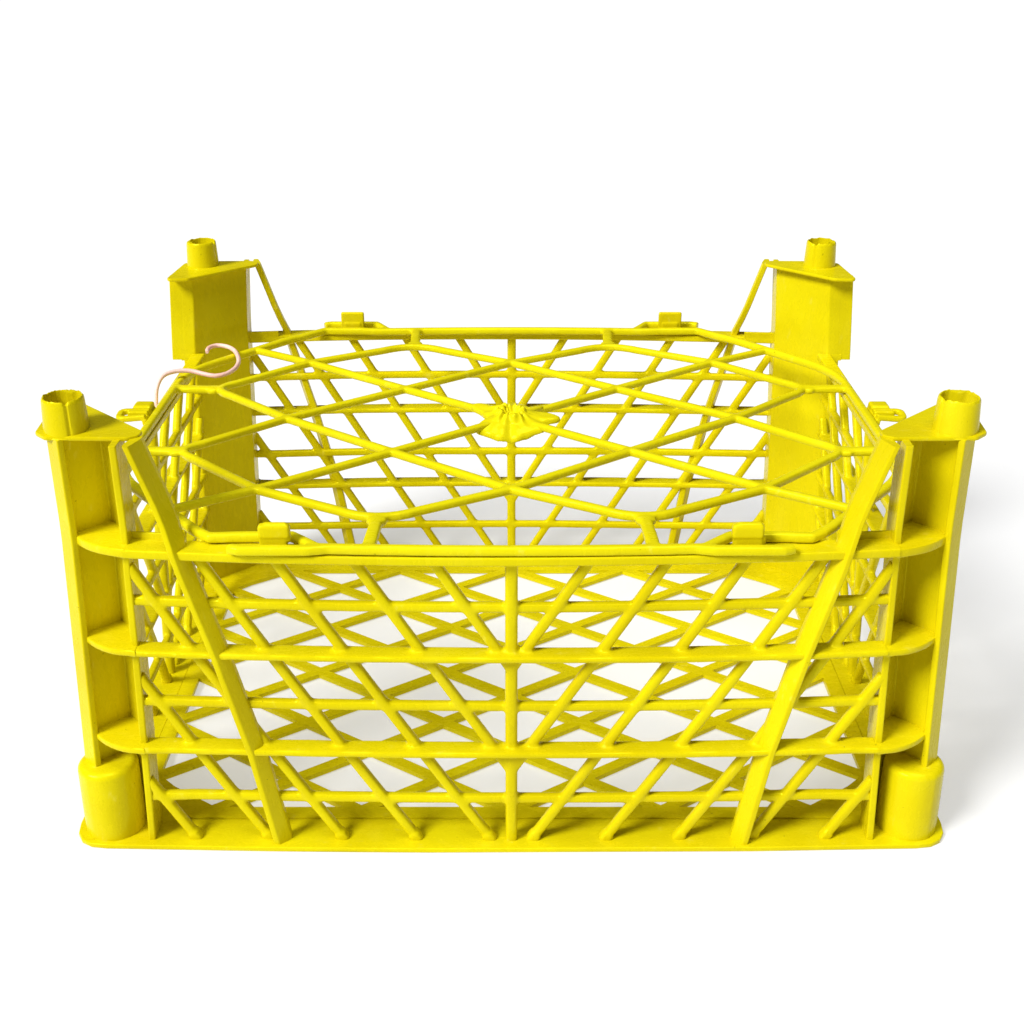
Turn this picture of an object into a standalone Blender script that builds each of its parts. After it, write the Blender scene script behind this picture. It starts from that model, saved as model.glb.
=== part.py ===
"""Stacking plastic fruit crate with a clip-on lattice lid.

Metres, +X right, +Y back, +Z up. The origin is the middle of the footprint, on the surface
that the crate stands on. Each member of the two mouldings is an object of its own. Most are
drawn once, for the back right quarter or the front wall, with upright walls; settle() then
gives them the draft, lean and outward belly that the moulded crate has.
"""
import math

import bmesh
import bpy
from mathutils import Matrix, Vector

NAME = "stacking_crate"
GAP = 0.0003                    # left between members that touch

# Base
LENGTH = 0.400
WIDTH = 0.300
FLANGE_TOP = 0.0024
FLANGE_CORNER = 0.016
FOOT_Z = FLANGE_TOP + GAP       # everything that stands on the flange starts here
OPENING = 0.180, 0.131          # half sizes of the hole in the base flange
OPENING_CORNER = 0.030
FLOOR_NODE = 0.0354, 0.0250     # half a diamond of the floor's lattice
FLOOR_BAR = 0.0060
FLOOR_LOW = 0.0006
FLOOR_HIGH = 0.0030
FLOOR_BORDER = 0.008
FLOOR_SMALLEST = 0.15           # diamonds cut smaller than this share are left closed

# Levels
RIM_BOTTOM = 0.148
RIM_TOP = 0.152
RIB_LEVELS = (0.0516, 0.1009)   # undersides of the two shelf ribs
RIB_THICK = 0.003
BAR_LEVELS = (0.025, 0.075, 0.125)
PLATE_TOP = 0.198
PLATE_THICK = 0.0019
POST_TOP = PLATE_TOP - PLATE_THICK - GAP
PEG_TOP = 0.2125

# Upright planes at rim level, before settle()
WALL_Y = 0.1452                 # outer face of the long walls' lattice
WALL_X = 0.1840                 # outer face of the short walls' lattice
SHELF_Y = 0.150                 # outer edge of the shelf ribs and rims
SHELF_X = 0.1885
LATTICE_THICK = 0.005
RIM_DEPTH = 0.012
SIDE_RIM_DEPTH = 0.0075
POST_X = 0.156                  # face of each post towards the long wall
POST_Y = 0.106                  # face of each post towards the short wall

# Lattice bars
BAR_SIZE = 0.0042
MID_BAR = 0.0048
SLANT = 0.60                    # sideways run of a slanted bar per unit of height
SLANT_PITCH = 0.0322
SLANT_SHORTEST = 0.012          # slanted bars lower than this at the posts are left out
BAR_RECESS = 0.0002             # level bars stand this far behind the centre bar
SLANT_RECESS = 0.0006

# Draft, lean and belly of the moulding
SPREAD = 0.040                  # growth of every X from the post tops to the base
DRAFT = 0.0015                  # the long walls stand this much further in at the base
BELLY_RIM = 0.009               # outward belly at mid-length of a long wall
BELLY_BASE = 0.003
BELLY_SPAN = 0.165
NECK = 0.0046                   # posts step back this much between rim and top

# Corner posts
FLANGE_TIP_Y = 0.1453
POST_FLANGE = 0.0031
WEB = 0.0026
PANEL_SUM = 0.2915              # x + y on the diagonal panel's outer face
CORNER_SUM = 0.3203             # x + y on the corner bar's outer face
WEB_OFFSET = 0.04815            # x - y along the middle of the diagonal web
CORNER_HALF = 0.00465
CORNER_DEPTH = 0.0031
SHELF_SETBACK = 0.003           # web shelves stop this far short of the corner bar's outer face
SHELF_BOW_FRONT = 0.170, 0.1488 # control points of the shelves' bowed edges
SHELF_BOW_SIDE = 0.1905, 0.121
SHELF_TIP_X = SHELF_X + 0.0015
WING_X = 0.1952                 # above the rim the side flange reaches out to here

# Slanted braces
BRACE_CLEAR = 0.0007            # the braces stand this far off the lattice that they cross
# Sections (z, inner x, outer x, inner y, outer y) of the back right brace
BRACE_SECTIONS = (
    (FOOT_Z, 0.0960, 0.1032, WALL_Y + BRACE_CLEAR, SHELF_Y + 0.0001),
    (0.0530, 0.1052, 0.1122, WALL_Y + BRACE_CLEAR, SHELF_Y + 0.0006),
    (0.1024, 0.1178, 0.1242, WALL_Y + BRACE_CLEAR, SHELF_Y + 0.0012),
    (RIM_BOTTOM - 0.004, 0.1300, 0.1361, WALL_Y + BRACE_CLEAR, SHELF_Y + 0.0017),
    (RIM_TOP + 0.002, 0.1327, 0.1386, WALL_Y - 0.0040, SHELF_Y + 0.0016),
    (POST_TOP, 0.1480, 0.1535, FLANGE_TIP_Y - 0.0117, FLANGE_TIP_Y + 0.0006),
)

# Top plate of the back right post
PLATE_OUTLINE = (
    (0.1865, 0.1420), (0.1530, 0.1428), (0.1492, 0.1400), (0.1488, 0.1350),
    (0.1825, 0.1020), (0.1925, 0.1010), (0.1945, 0.1030), (0.1920, 0.1365),
)

# Stacking pegs and foot drums
PEG_XY = 0.180, 0.133
PEG_BASE_R = 0.0092
PEG_TIP_R = 0.0084
PEG_BORE_R = 0.0060
PEG_BORE_TAPER = 0.0004
PEG_FLOOR = 0.002               # thickness of plastic under the bore
PEG_ROUND = 0.0007              # rounding of the mouth
DRUM_XY = 0.1832, 0.134
DRUM_R = 0.014
DRUM_TOP = 0.038
DRUM_ROUND = 0.004
SOCKET_XY = 0.1825, 0.1335
SOCKET_R = 0.012
SOCKET_TOP = 0.020
ROUND_STEPS = 20

# Lid
LID_LOW = RIM_TOP + GAP
LID_BAR = 0.0044
LID_Y = 0.1415                  # middle of the lid's long edge bar, before the belly
LID_X = 0.180
LID_SHIFT = -0.0062             # the lid lies this far towards the front of the crate
LID_CORNER = 0.060, 0.074       # run of the slanted corner along X and along Y
LID_NODE = 0.0565, 0.0445       # half a diamond of the lid's lattice
LID_EDGE_NODE = 0.158, 0.1215   # junctions of the stubs that reach the edge bar
LID_CORNER_NODE = 0.1475, 0.1115
LID_STUB_END = 0.190, 0.160     # stubs run past the edge bar, which trims them
LID_STUB_LEAN = 0.0015
LID_LATTICE_BAR = 0.0040
LID_DROP = 0.0004               # the lattice is this much thinner than the edge bar
GATE_R = 0.022
GATE_PETALS = 5
GATE_WAVE = 0.22                # share of the radius that the petals rise and fall by
GATE_SQUASH = 0.8
GATE_THICK = 0.0014
GATE_NECK_R = 0.42 * GATE_R
GATE_NECK_HIGH = 0.0050
GATE_CRATER_R = 0.28 * GATE_R
GATE_CRATER_DEEP = 0.0025

# Catches
CATCH_X = 0.0963
CATCH_WIDE = 0.014
CATCH_HIGH = 0.0135
CATCH_THICK = 0.0040
CATCH_INSET = 0.0044            # from the rim's outer edge to the catch's outer face
CATCH_HEAD_HIGH = 0.006
CATCH_NECK_STEP = 0.001         # the neck is this much smaller than the head on three sides
CATCH_HEAD_STEP = 0.0004        # the head stands this far back from the neck's outer face
EYELET_LONG = 0.040
EYELET_CLEAR = 0.0026
EYELET_BAR = 0.7 * LID_BAR
EYELET_OFF = 0.0003             # the eyelet's middle lies this far outside the catch's
SIDE_CATCH_WIDE = 0.020
SIDE_CATCH_REACH = 0.1995
SIDE_CATCH_THICK = 0.003
SIDE_CATCH_CLEAR = 0.0006       # from the lid's edge bar to the catch
SIDE_GRIP_LOW = 0.0042
SIDE_GRIP_HIGH = 0.0072
SIDE_LIP_THICK = 0.0024
SIDE_LIP_LOW = 0.001

# Tie cord that lies on the lid's left rear corner and hangs over the left rim
CORD_R = 0.0012
CORD_STEP = 0.0060
CORD_ROUTE = (
    (-0.1898, 0.0350, 0.1360), (-0.1900, 0.0360, 0.1460), (-0.1896, 0.0390, 0.1545),
    (-0.1872, 0.0445, 0.1596), (-0.1815, 0.0500, 0.1606), (-0.1740, 0.0525, 0.1600),
    (-0.1665, 0.0505, 0.1590), (-0.1600, 0.0485, 0.1585), (-0.1545, 0.0520, 0.1585),
    (-0.1515, 0.0610, 0.1585), (-0.1515, 0.0720, 0.1585), (-0.1540, 0.0830, 0.1585),
    (-0.1580, 0.0935, 0.1585), (-0.1635, 0.1000, 0.1587), (-0.1695, 0.1010, 0.1590),
    (-0.1730, 0.0960, 0.1590), (-0.1725, 0.0890, 0.1588),
)

PLASTIC = (0.88, 0.74, 0.02, 1.0)
PLASTIC_ROUGHNESS = 0.35
CORD_COLOUR = (0.82, 0.52, 0.44, 1.0)
CORD_ROUGHNESS = 0.5


# ---------------------------------------------------------------- tools

def clear_scene():
    for obj in list(bpy.data.objects):
        bpy.data.objects.remove(obj, do_unlink=True)


def new_collection(name):
    collection = bpy.data.collections.new(name)
    bpy.context.scene.collection.children.link(collection)
    return collection


def finish(name, colour, roughness):
    material = bpy.data.materials.new(name)
    material.use_nodes = True
    shader = material.node_tree.nodes["Principled BSDF"]
    shader.inputs["Base Color"].default_value = colour
    shader.inputs["Roughness"].default_value = roughness
    shader.inputs["Metallic"].default_value = 0.0
    return material


def add_mesh(name, bm):
    """Make an object in the crate's collection from a bmesh."""
    bmesh.ops.recalc_face_normals(bm, faces=bm.faces)
    mesh = bpy.data.meshes.new(name)
    bm.to_mesh(mesh)
    bm.free()
    obj = bpy.data.objects.new(name, mesh)
    parts.objects.link(obj)
    return obj


def baked(obj, name):
    """Replace an object by the welded mesh that its modifiers or curve give."""
    bpy.context.view_layer.update()
    graph = bpy.context.evaluated_depsgraph_get()
    mesh = bpy.data.meshes.new_from_object(obj.evaluated_get(graph))
    bm = bmesh.new()
    bm.from_mesh(mesh)
    bm.transform(obj.matrix_world)
    bmesh.ops.remove_doubles(bm, verts=bm.verts, dist=1e-6)
    bpy.data.objects.remove(obj, do_unlink=True)
    return add_mesh(name, bm)


def block(name, low, high):
    low = Vector(low)
    high = Vector(high)
    bm = bmesh.new()
    bmesh.ops.create_cube(bm, size=1.0)
    bmesh.ops.scale(bm, vec=high - low, verts=bm.verts)
    bmesh.ops.translate(bm, vec=(low + high) / 2, verts=bm.verts)
    return add_mesh(name, bm)


def drum(name, centre, radius, low, high):
    bm = bmesh.new()
    middle = Matrix.Translation((*centre, (low + high) / 2))
    bmesh.ops.create_cone(bm, cap_ends=True, segments=ROUND_STEPS, radius1=radius, radius2=radius,
                          depth=high - low, matrix=middle)
    return add_mesh(name, bm)


def flat(name, outline, low, high, holes=()):
    """A flat piece: an outline in X and Y, with holes, between two heights."""
    curve = bpy.data.curves.new(name, "CURVE")
    curve.dimensions = "2D"
    curve.fill_mode = "BOTH"
    curve.extrude = (high - low) / 2
    for ring in (outline, *holes):
        spline = curve.splines.new("POLY")
        spline.points.add(len(ring) - 1)
        for point, (x, y) in zip(spline.points, ring):
            point.co = (x, y, 0, 1)
        spline.use_cyclic_u = True
    obj = bpy.data.objects.new(name, curve)
    obj.location.z = (low + high) / 2
    parts.objects.link(obj)
    return baked(obj, name)


def turned(name, profile, centre):
    """A turned piece: (radius, height) points that run down the outer side."""
    mesh = bpy.data.meshes.new(name)
    points = [(radius, 0, height) for radius, height in profile]
    mesh.from_pydata(points, [(i, i + 1) for i in range(len(points) - 1)], [])
    obj = bpy.data.objects.new(name, mesh)
    obj.location = (*centre, 0)
    parts.objects.link(obj)
    screw = obj.modifiers.new("turn", "SCREW")
    screw.steps = ROUND_STEPS
    screw.render_steps = ROUND_STEPS
    screw.use_merge_vertices = True
    screw.merge_threshold = 0.00001
    return baked(obj, name)


def combine(name, first, others, operation):
    """Union with, or cut away, every object in others, which are used up."""
    group = bpy.data.collections.new(name + "_tools")
    bpy.context.scene.collection.children.link(group)
    for other in others:
        parts.objects.unlink(other)
        group.objects.link(other)
        other.hide_render = True
        other.display_type = "WIRE"
    boolean = first.modifiers.new("combine", "BOOLEAN")
    boolean.operation = operation
    boolean.operand_type = "COLLECTION"
    boolean.collection = group
    result = baked(first, name)
    for other in others:
        bpy.data.objects.remove(other, do_unlink=True)
    bpy.data.collections.remove(group)
    return result


def fused(name, pieces):
    return combine(name, pieces[0], pieces[1:], "UNION")


def cut(piece, cutters):
    return combine(piece.name, piece, cutters, "DIFFERENCE")


def reshape(obj, rule, cuts=()):
    """Add edge loops where the planes (point, normal) pass, then move every point by a rule."""
    bm = bmesh.new()
    bm.from_mesh(obj.data)
    for point, normal in cuts:
        everything = bm.verts[:] + bm.edges[:] + bm.faces[:]
        bmesh.ops.bisect_plane(bm, geom=everything, plane_co=point, plane_no=normal, dist=1e-6)
    for vert in bm.verts:
        vert.co = rule(vert.co)
    bm.to_mesh(obj.data)
    bm.free()
    return obj


def mirrored(obj, name, side_x, side_y):
    """A copy of an object in another quarter of the crate."""
    bm = bmesh.new()
    bm.from_mesh(obj.data)
    bmesh.ops.scale(bm, vec=(side_x, side_y, 1), verts=bm.verts)
    if side_x * side_y < 0:
        bmesh.ops.reverse_faces(bm, faces=bm.faces)
    mesh = bpy.data.meshes.new(name)
    bm.to_mesh(mesh)
    bm.free()
    copy = bpy.data.objects.new(name, mesh)
    parts.objects.link(copy)
    return copy


def in_each_corner(obj, name):
    """Put a back right piece into all four corners, and remove the one it was drawn as."""
    for end, side_y in (("front", -1), ("back", 1)):
        for side, side_x in (("left", -1), ("right", 1)):
            mirrored(obj, f"{name}_{end}_{side}", side_x, side_y)
    bpy.data.objects.remove(obj, do_unlink=True)


def arc(start, control, end, steps):
    """Points of a curve between two points, without its last one."""
    points = []
    for i in range(steps):
        t = i / steps
        a, b, c = (1 - t) ** 2, 2 * t * (1 - t), t ** 2
        points.append(tuple(a * start[k] + b * control[k] + c * end[k] for k in range(2)))
    return points


# ---------------------------------------------------------------- the moulding's shape

def spread(z):
    return 1 + SPREAD * (1 - z / POST_TOP)


def belly(x, z):
    """How far a long wall stands out of its upright plane."""
    level = min(z, RIM_TOP) / RIM_TOP
    deep = BELLY_BASE + (BELLY_RIM - BELLY_BASE) * level
    out = deep * max(0.0, 1 - (x / BELLY_SPAN) ** 2) - DRAFT * (1 - level)
    if z > RIM_TOP:
        out -= (out + NECK) * (z - RIM_TOP) / (POST_TOP - RIM_TOP)
    return out


def settle(co):
    out = math.copysign(belly(co.x, co.z), co.y)
    return Vector((co.x * spread(co.z), co.y + out, co.z))


def settle_short(co):
    """Short walls and their rims only lean."""
    return Vector((co.x * spread(co.z), co.y, co.z))


def across_x(reach, step):
    """Upright planes across X, closer than a step, that let a long piece follow the belly."""
    count = math.ceil(2 * reach / step)
    return [((-reach + 2 * reach * i / count, 0, 0), (1, 0, 0)) for i in range(1, count)]


def across_z(levels):
    return [((0, 0, level), (0, 0, 1)) for level in levels]


# ---------------------------------------------------------------- base

def edge_points(half_x, half_y, corner, out, steps):
    """The back right quarter of a plate's edge, from the middle of the back to the right."""
    points = []
    straight = half_x - corner
    for i in range(steps):
        x = straight * i / steps
        points.append((x, half_y + out * (1 - (x / straight) ** 2)))
    end = (half_x, half_y - corner)
    return points + arc((straight, half_y), (half_x, half_y), end, 4) + [end]


def all_round(quarter):
    """A whole ring from the points of its back right quarter."""
    back = [(-x, y) for x, y in reversed(quarter[1:])] + quarter
    return back + [(x, -y) for x, y in reversed(back)]


def octagon(half_x, half_y, run_x, run_y):
    corner = [(half_x - run_x, half_y), (half_x, half_y - run_y)]
    back = [(-x, y) for x, y in reversed(corner)] + corner
    return back + [(x, -y) for x, y in reversed(back)]


def ring_of(centre, radius):
    turns = [math.tau * i / ROUND_STEPS for i in range(ROUND_STEPS)]
    return [(centre[0] + radius * math.cos(a), centre[1] + radius * math.sin(a)) for a in turns]


def make_base_flange():
    edge = all_round(edge_points(LENGTH / 2, WIDTH / 2, FLANGE_CORNER, BELLY_BASE, 5))
    holes = [octagon(*OPENING, OPENING_CORNER, OPENING_CORNER)]
    for side_x in (-1, 1):
        for side_y in (-1, 1):
            holes.append(ring_of((side_x * SOCKET_XY[0], side_y * SOCKET_XY[1]), SOCKET_R))
    flat("base_flange", edge, 0, FLANGE_TOP, holes)


def clipped(ring, normal, limit):
    """The part of a ring of points whose distance along a normal is under a limit."""
    kept = []
    for (x0, y0), (x1, y1) in zip(ring, ring[1:] + ring[:1]):
        d0 = x0 * normal[0] + y0 * normal[1] - limit
        d1 = x1 * normal[0] + y1 * normal[1] - limit
        if d0 <= 0:
            kept.append((x0, y0))
        if d0 * d1 < 0:
            t = d0 / (d0 - d1)
            kept.append((x0 + t * (x1 - x0), y0 + t * (y1 - y0)))
    return kept


def area(ring):
    return abs(sum(x0 * y1 - x1 * y0 for (x0, y0), (x1, y1) in zip(ring, ring[1:] + ring[:1]))) / 2


def make_floor():
    """A plate that fills the flange's opening, cut through with diamonds up to a border."""
    half_x, half_y = OPENING[0] - GAP, OPENING[1] - GAP
    edge = octagon(half_x, half_y, OPENING_CORNER, OPENING_CORNER)
    step_x, step_y = FLOOR_NODE
    slope = math.hypot(step_x, step_y)
    open_x = step_x - FLOOR_BAR / 2 * slope / step_y
    open_y = step_y - FLOOR_BAR / 2 * slope / step_x
    corner_limit = (half_x + half_y - OPENING_CORNER) / math.sqrt(2) - FLOOR_BORDER
    limits = []
    for side in (-1, 1):
        limits.append(((side, 0), half_x - FLOOR_BORDER))
        limits.append(((0, side), half_y - FLOOR_BORDER))
        for other in (-1, 1):
            limits.append(((side / math.sqrt(2), other / math.sqrt(2)), corner_limit))
    smallest = FLOOR_SMALLEST * open_x * open_y
    columns = math.ceil(half_x / step_x)
    rows = math.ceil(half_y / step_y)
    holes = []
    for i in range(-columns, columns + 1):
        for j in range(-rows, rows + 1):
            x, y = i * step_x, j * step_y
            hole = [(x + open_x, y), (x, y + open_y), (x - open_x, y), (x, y - open_y)]
            for normal, limit in limits:
                hole = clipped(hole, normal, limit)
            if (i + j) % 2 == 0 and area(hole) > smallest:
                holes.append(hole)
    flat("floor_lattice", edge, FLOOR_LOW, FLOOR_HIGH, holes)


# ---------------------------------------------------------------- walls

def slanted_bar(name, top, bottom, outer, thick):
    """A square bar in an upright wall, from one (x, z) point to another."""
    start, end = Vector((top[0], 0, top[1])), Vector((bottom[0], 0, bottom[1]))
    run = end - start
    bar = block(name, (-BAR_SIZE / 2, outer - thick, 0), (BAR_SIZE / 2, outer, run.length))
    turn = Vector((0, 0, 1)).rotation_difference(run)
    place = Matrix.Translation(start) @ turn.to_matrix().to_4x4()
    bar.data.transform(place)
    return bar


def wall_bars(outer, shelf, half):
    """Every bar and shelf rib of a wall, in the plane y = outer, wider than the wall."""
    thin = LATTICE_THICK - 2 * BAR_RECESS
    flush = outer - BAR_RECESS
    reach = half + BAR_SIZE
    mid = block("mid", (-MID_BAR / 2, outer - LATTICE_THICK, FLANGE_TOP),
                (MID_BAR / 2, outer, RIM_BOTTOM))
    bars = [mid]
    for z in BAR_LEVELS:
        low, high = z - BAR_SIZE / 2, z + BAR_SIZE / 2
        bars.append(block("level", (-reach, flush - thin, low), (reach, flush, high)))
    for z in RIB_LEVELS:
        inner = outer - LATTICE_THICK - 2 * BAR_RECESS
        bars.append(block("rib", (-reach, inner, z), (reach, shelf, z + RIB_THICK)))
    full_run = SLANT * RIM_BOTTOM
    last = half + full_run - SLANT * SLANT_SHORTEST
    for k in range(1, math.ceil(last / SLANT_PITCH)):
        for side in (-1, 1):
            top_x = SLANT_PITCH * k
            end_x = max(top_x - full_run, MID_BAR / 8)
            end_z = RIM_BOTTOM - (top_x - end_x) / SLANT
            bars.append(slanted_bar("slant", (side * top_x, RIM_BOTTOM), (side * end_x, end_z),
                                    outer - SLANT_RECESS, LATTICE_THICK - 2 * SLANT_RECESS))
    return bars


def windowed(name, bars, outer, shelf, half):
    """Join a wall's bars and trim them to the space between the posts, flange and rim."""
    wall = fused(name, bars)
    margin = 0.01
    window = block("window", (-half, outer - LATTICE_THICK - margin, FOOT_Z),
                   (half, shelf + margin, RIM_BOTTOM - GAP))
    return combine(name, wall, [window], "INTERSECT")


def brace_body(name, grow):
    """A loft through the brace's sections, each grown outwards on all sides."""
    bm = bmesh.new()
    rings = []
    for z, inner_x, outer_x, inner_y, outer_y in BRACE_SECTIONS:
        x0, x1 = inner_x - grow, outer_x + grow
        y0, y1 = inner_y - grow, outer_y + grow
        corners = ((x0, y0, z), (x1, y0, z), (x1, y1, z), (x0, y1, z))
        rings.append([bm.verts.new(point) for point in corners])
    for low, high in zip(rings, rings[1:]):
        for i in range(4):
            bm.faces.new((low[i], low[(i + 1) % 4], high[(i + 1) % 4], high[i]))
    bm.faces.new(rings[0])
    bm.faces.new(rings[-1])
    return add_mesh(name, bm)


def brace_slots():
    right = brace_body("slot", BRACE_CLEAR)
    left = mirrored(right, "slot_left", -1, 1)
    return [right, left]


def make_long_walls():
    half = POST_X - GAP
    bars = wall_bars(WALL_Y, SHELF_Y, half)
    wall = windowed("wall", bars, WALL_Y, SHELF_Y, half)
    wall = cut(wall, brace_slots())
    reshape(wall, settle, across_x(half, 0.080))
    rim = block("rim", (-half, SHELF_Y - RIM_DEPTH, RIM_BOTTOM), (half, SHELF_Y, RIM_TOP))
    rim = cut(rim, brace_slots())
    reshape(rim, settle, across_x(half, 0.040))
    for end, side in (("front", -1), ("back", 1)):
        mirrored(wall, f"wall_{end}", 1, side)
        mirrored(rim, f"rim_{end}", 1, side)
    bpy.data.objects.remove(wall, do_unlink=True)
    bpy.data.objects.remove(rim, do_unlink=True)


def quarter_turn(co):
    """From the back wall's place to the right wall's."""
    return Vector((co.y, -co.x, co.z))


def make_short_walls():
    half = POST_Y - GAP
    bars = wall_bars(WALL_X, SHELF_X, half)
    wall = windowed("wall", bars, WALL_X, SHELF_X, half)
    rim = block("rim", (-half, WALL_X - SIDE_RIM_DEPTH, RIM_BOTTOM), (half, WALL_X, RIM_TOP))
    for piece in (wall, rim):
        reshape(piece, quarter_turn)
        reshape(piece, settle_short)
    for name, side in (("left", -1), ("right", 1)):
        mirrored(wall, f"wall_{name}", side, 1)
        mirrored(rim, f"rim_{name}", side, 1)
    bpy.data.objects.remove(wall, do_unlink=True)
    bpy.data.objects.remove(rim, do_unlink=True)


# ---------------------------------------------------------------- corner posts

def diagonal(along, across):
    """A point from its sum and difference of x and y."""
    return (along + across) / 2, (along - across) / 2


def post_outline():
    """Two flanges, the diagonal panel between them, and the web out to the corner bar."""
    root = math.sqrt(2)
    panel_inner = PANEL_SUM - WEB * root
    corner_inner = CORNER_SUM - CORNER_DEPTH * root
    web = WEB / 2 * root
    bar = CORNER_HALF * root
    flange_x = POST_X + POST_FLANGE
    flange_y = POST_Y + POST_FLANGE
    return [
        (POST_X, FLANGE_TIP_Y),
        (flange_x, FLANGE_TIP_Y),
        (flange_x, PANEL_SUM - flange_x),
        diagonal(PANEL_SUM, WEB_OFFSET - web),
        diagonal(corner_inner, WEB_OFFSET - web),
        diagonal(corner_inner, WEB_OFFSET - bar),
        diagonal(CORNER_SUM, WEB_OFFSET - bar),
        diagonal(CORNER_SUM, WEB_OFFSET + bar),
        diagonal(corner_inner, WEB_OFFSET + bar),
        diagonal(corner_inner, WEB_OFFSET + web),
        diagonal(PANEL_SUM, WEB_OFFSET + web),
        (PANEL_SUM - flange_y, flange_y),
        (SHELF_X, flange_y),
        (SHELF_X, POST_Y),
        (panel_inner - POST_Y, POST_Y),
        (POST_X, panel_inner - POST_X),
    ]


def shelf_outline():
    """A web shelf across a post, with bowed edges from the walls' shelves to the corner bar."""
    bar = CORNER_HALF * math.sqrt(2)
    front = diagonal(CORNER_SUM - SHELF_SETBACK, WEB_OFFSET - bar)
    side = diagonal(CORNER_SUM - SHELF_SETBACK, WEB_OFFSET + bar)
    inner = PANEL_SUM - WEB * math.sqrt(2)
    steps = 5
    tip = (SHELF_TIP_X, POST_Y)
    edge = arc((POST_X, SHELF_Y), SHELF_BOW_FRONT, front, steps) + [front]
    edge += arc(side, SHELF_BOW_SIDE, tip, steps)
    return edge + [tip, (inner - POST_Y, POST_Y), (POST_X, inner - POST_X)]


def make_posts():
    wing = ((SHELF_X - WEB, POST_Y), (WING_X, POST_Y),
            (WING_X, POST_Y + POST_FLANGE), (SHELF_X - WEB, POST_Y + POST_FLANGE))
    pieces = [flat("post", post_outline(), FOOT_Z, POST_TOP), flat("wing", wing, RIM_BOTTOM, POST_TOP)]
    for z in RIB_LEVELS:
        pieces.append(flat("shelf", shelf_outline(), z, z + RIB_THICK))
    pieces.append(flat("shelf", shelf_outline(), RIM_BOTTOM, RIM_TOP))
    post = reshape(fused("post", pieces), settle)
    room = drum("room", DRUM_XY, DRUM_R + 2 * GAP, 0, DRUM_TOP + GAP)
    in_each_corner(cut(post, [room]), "post")


def make_braces():
    levels = [RIM_TOP * i / 6 for i in range(1, 7)]
    in_each_corner(reshape(brace_body("brace", 0), settle, across_z(levels)), "brace")


def make_top_plates():
    """Flat plate on a post: it bridges the post's flanges and the brace's top."""
    plate = flat("top_plate", PLATE_OUTLINE, PLATE_TOP - PLATE_THICK, PLATE_TOP)
    in_each_corner(plate, "top_plate")


def make_pegs():
    foot = PLATE_TOP + GAP
    profile = [
        (0, foot + PEG_FLOOR),
        (PEG_BORE_R - PEG_BORE_TAPER, foot + PEG_FLOOR),
        (PEG_BORE_R, PEG_TOP - PEG_ROUND),
        (PEG_BORE_R + PEG_ROUND, PEG_TOP),
        (PEG_TIP_R - PEG_ROUND, PEG_TOP),
        (PEG_TIP_R, PEG_TOP - PEG_ROUND),
        (PEG_BASE_R, foot),
        (0, foot),
    ]
    in_each_corner(turned("peg", profile, PEG_XY), "peg")


def make_feet():
    profile = [
        (0, DRUM_TOP),
        (DRUM_R - 1.2 * DRUM_ROUND, DRUM_TOP),
        (DRUM_R - 0.5 * DRUM_ROUND, DRUM_TOP - 0.3 * DRUM_ROUND),
        (DRUM_R - 0.1 * DRUM_ROUND, DRUM_TOP - DRUM_ROUND),
        (DRUM_R, FOOT_Z),
        (0, FOOT_Z),
    ]
    foot = turned("foot", profile, DRUM_XY)
    socket = drum("socket", SOCKET_XY, SOCKET_R, 0, SOCKET_TOP)
    in_each_corner(cut(foot, [socket]), "foot")


# ---------------------------------------------------------------- lid

def lid_edge_y(x):
    """Middle of the lid's long edge bar, which follows the rim, before the lid's shift."""
    return LID_Y + belly(x, RIM_TOP)


def shifted(ring):
    """Points of the lid where it lies on the crate."""
    return [(x, y + LID_SHIFT) for x, y in ring]


def lid_ring(offset):
    """The lid's edge line, moved outwards by an offset."""
    corner_x = LID_X - LID_CORNER[0]
    steps = 6
    xs = [corner_x * i / steps for i in range(steps + 1)]
    quarter = [(x, lid_edge_y(x) + offset) for x in xs]
    tilt = 0.4 * offset
    quarter[-1] = (corner_x + tilt, quarter[-1][1])
    quarter.append((LID_X + offset, lid_edge_y(corner_x) - LID_CORNER[1] + tilt))
    back = [(-x, y) for x, y in reversed(quarter[1:])] + quarter
    return shifted(back + [(x, -y) for x, y in reversed(back)])


def catch_outer_y():
    return SHELF_Y + belly(CATCH_X, RIM_TOP) - CATCH_INSET


def eyelet_ring(side_x, side_y, grow):
    """A long round-ended ring that lets a catch through the edge bar."""
    middle = catch_outer_y() - CATCH_THICK / 2 + EYELET_OFF
    hole = CATCH_THICK / 2 + EYELET_CLEAR
    straight = EYELET_LONG / 2 - hole
    half = hole + grow
    steps = 4
    ring = []
    for end in (1, -1):
        for i in range(steps + 1):
            a = math.pi * (i / steps - 0.5) * end
            x = end * straight + end * half * math.cos(a)
            ring.append((side_x * (CATCH_X + x), side_y * (middle + half * math.sin(a))))
    return ring


def catch_corners():
    return [(side_x, side_y) for side_x in (-1, 1) for side_y in (-1, 1)]


def make_lid_frame():
    high = LID_LOW + LID_BAR
    half = LID_BAR / 2
    edge = flat("edge", lid_ring(half), LID_LOW, high, [lid_ring(-half)])
    rings = []
    holes = []
    for side_x, side_y in catch_corners():
        rings.append(flat("eyelet", eyelet_ring(side_x, side_y, EYELET_BAR), LID_LOW, high - GAP))
        holes.append(flat("hole", eyelet_ring(side_x, side_y, 0), LID_LOW - LID_BAR, high + LID_BAR))
    cut(fused("lid_frame", [edge, *rings]), holes)


def lid_node(i, j):
    x = math.copysign(LID_EDGE_NODE[0], i) if abs(i) == 3 else i * LID_NODE[0]
    y = math.copysign(LID_EDGE_NODE[1], j) if abs(j) == 3 else j * LID_NODE[1]
    if abs(i) == 3 and abs(j) == 3:
        x, y = math.copysign(LID_CORNER_NODE[0], i), math.copysign(LID_CORNER_NODE[1], j)
    return Vector((x, y + LID_SHIFT))


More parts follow.
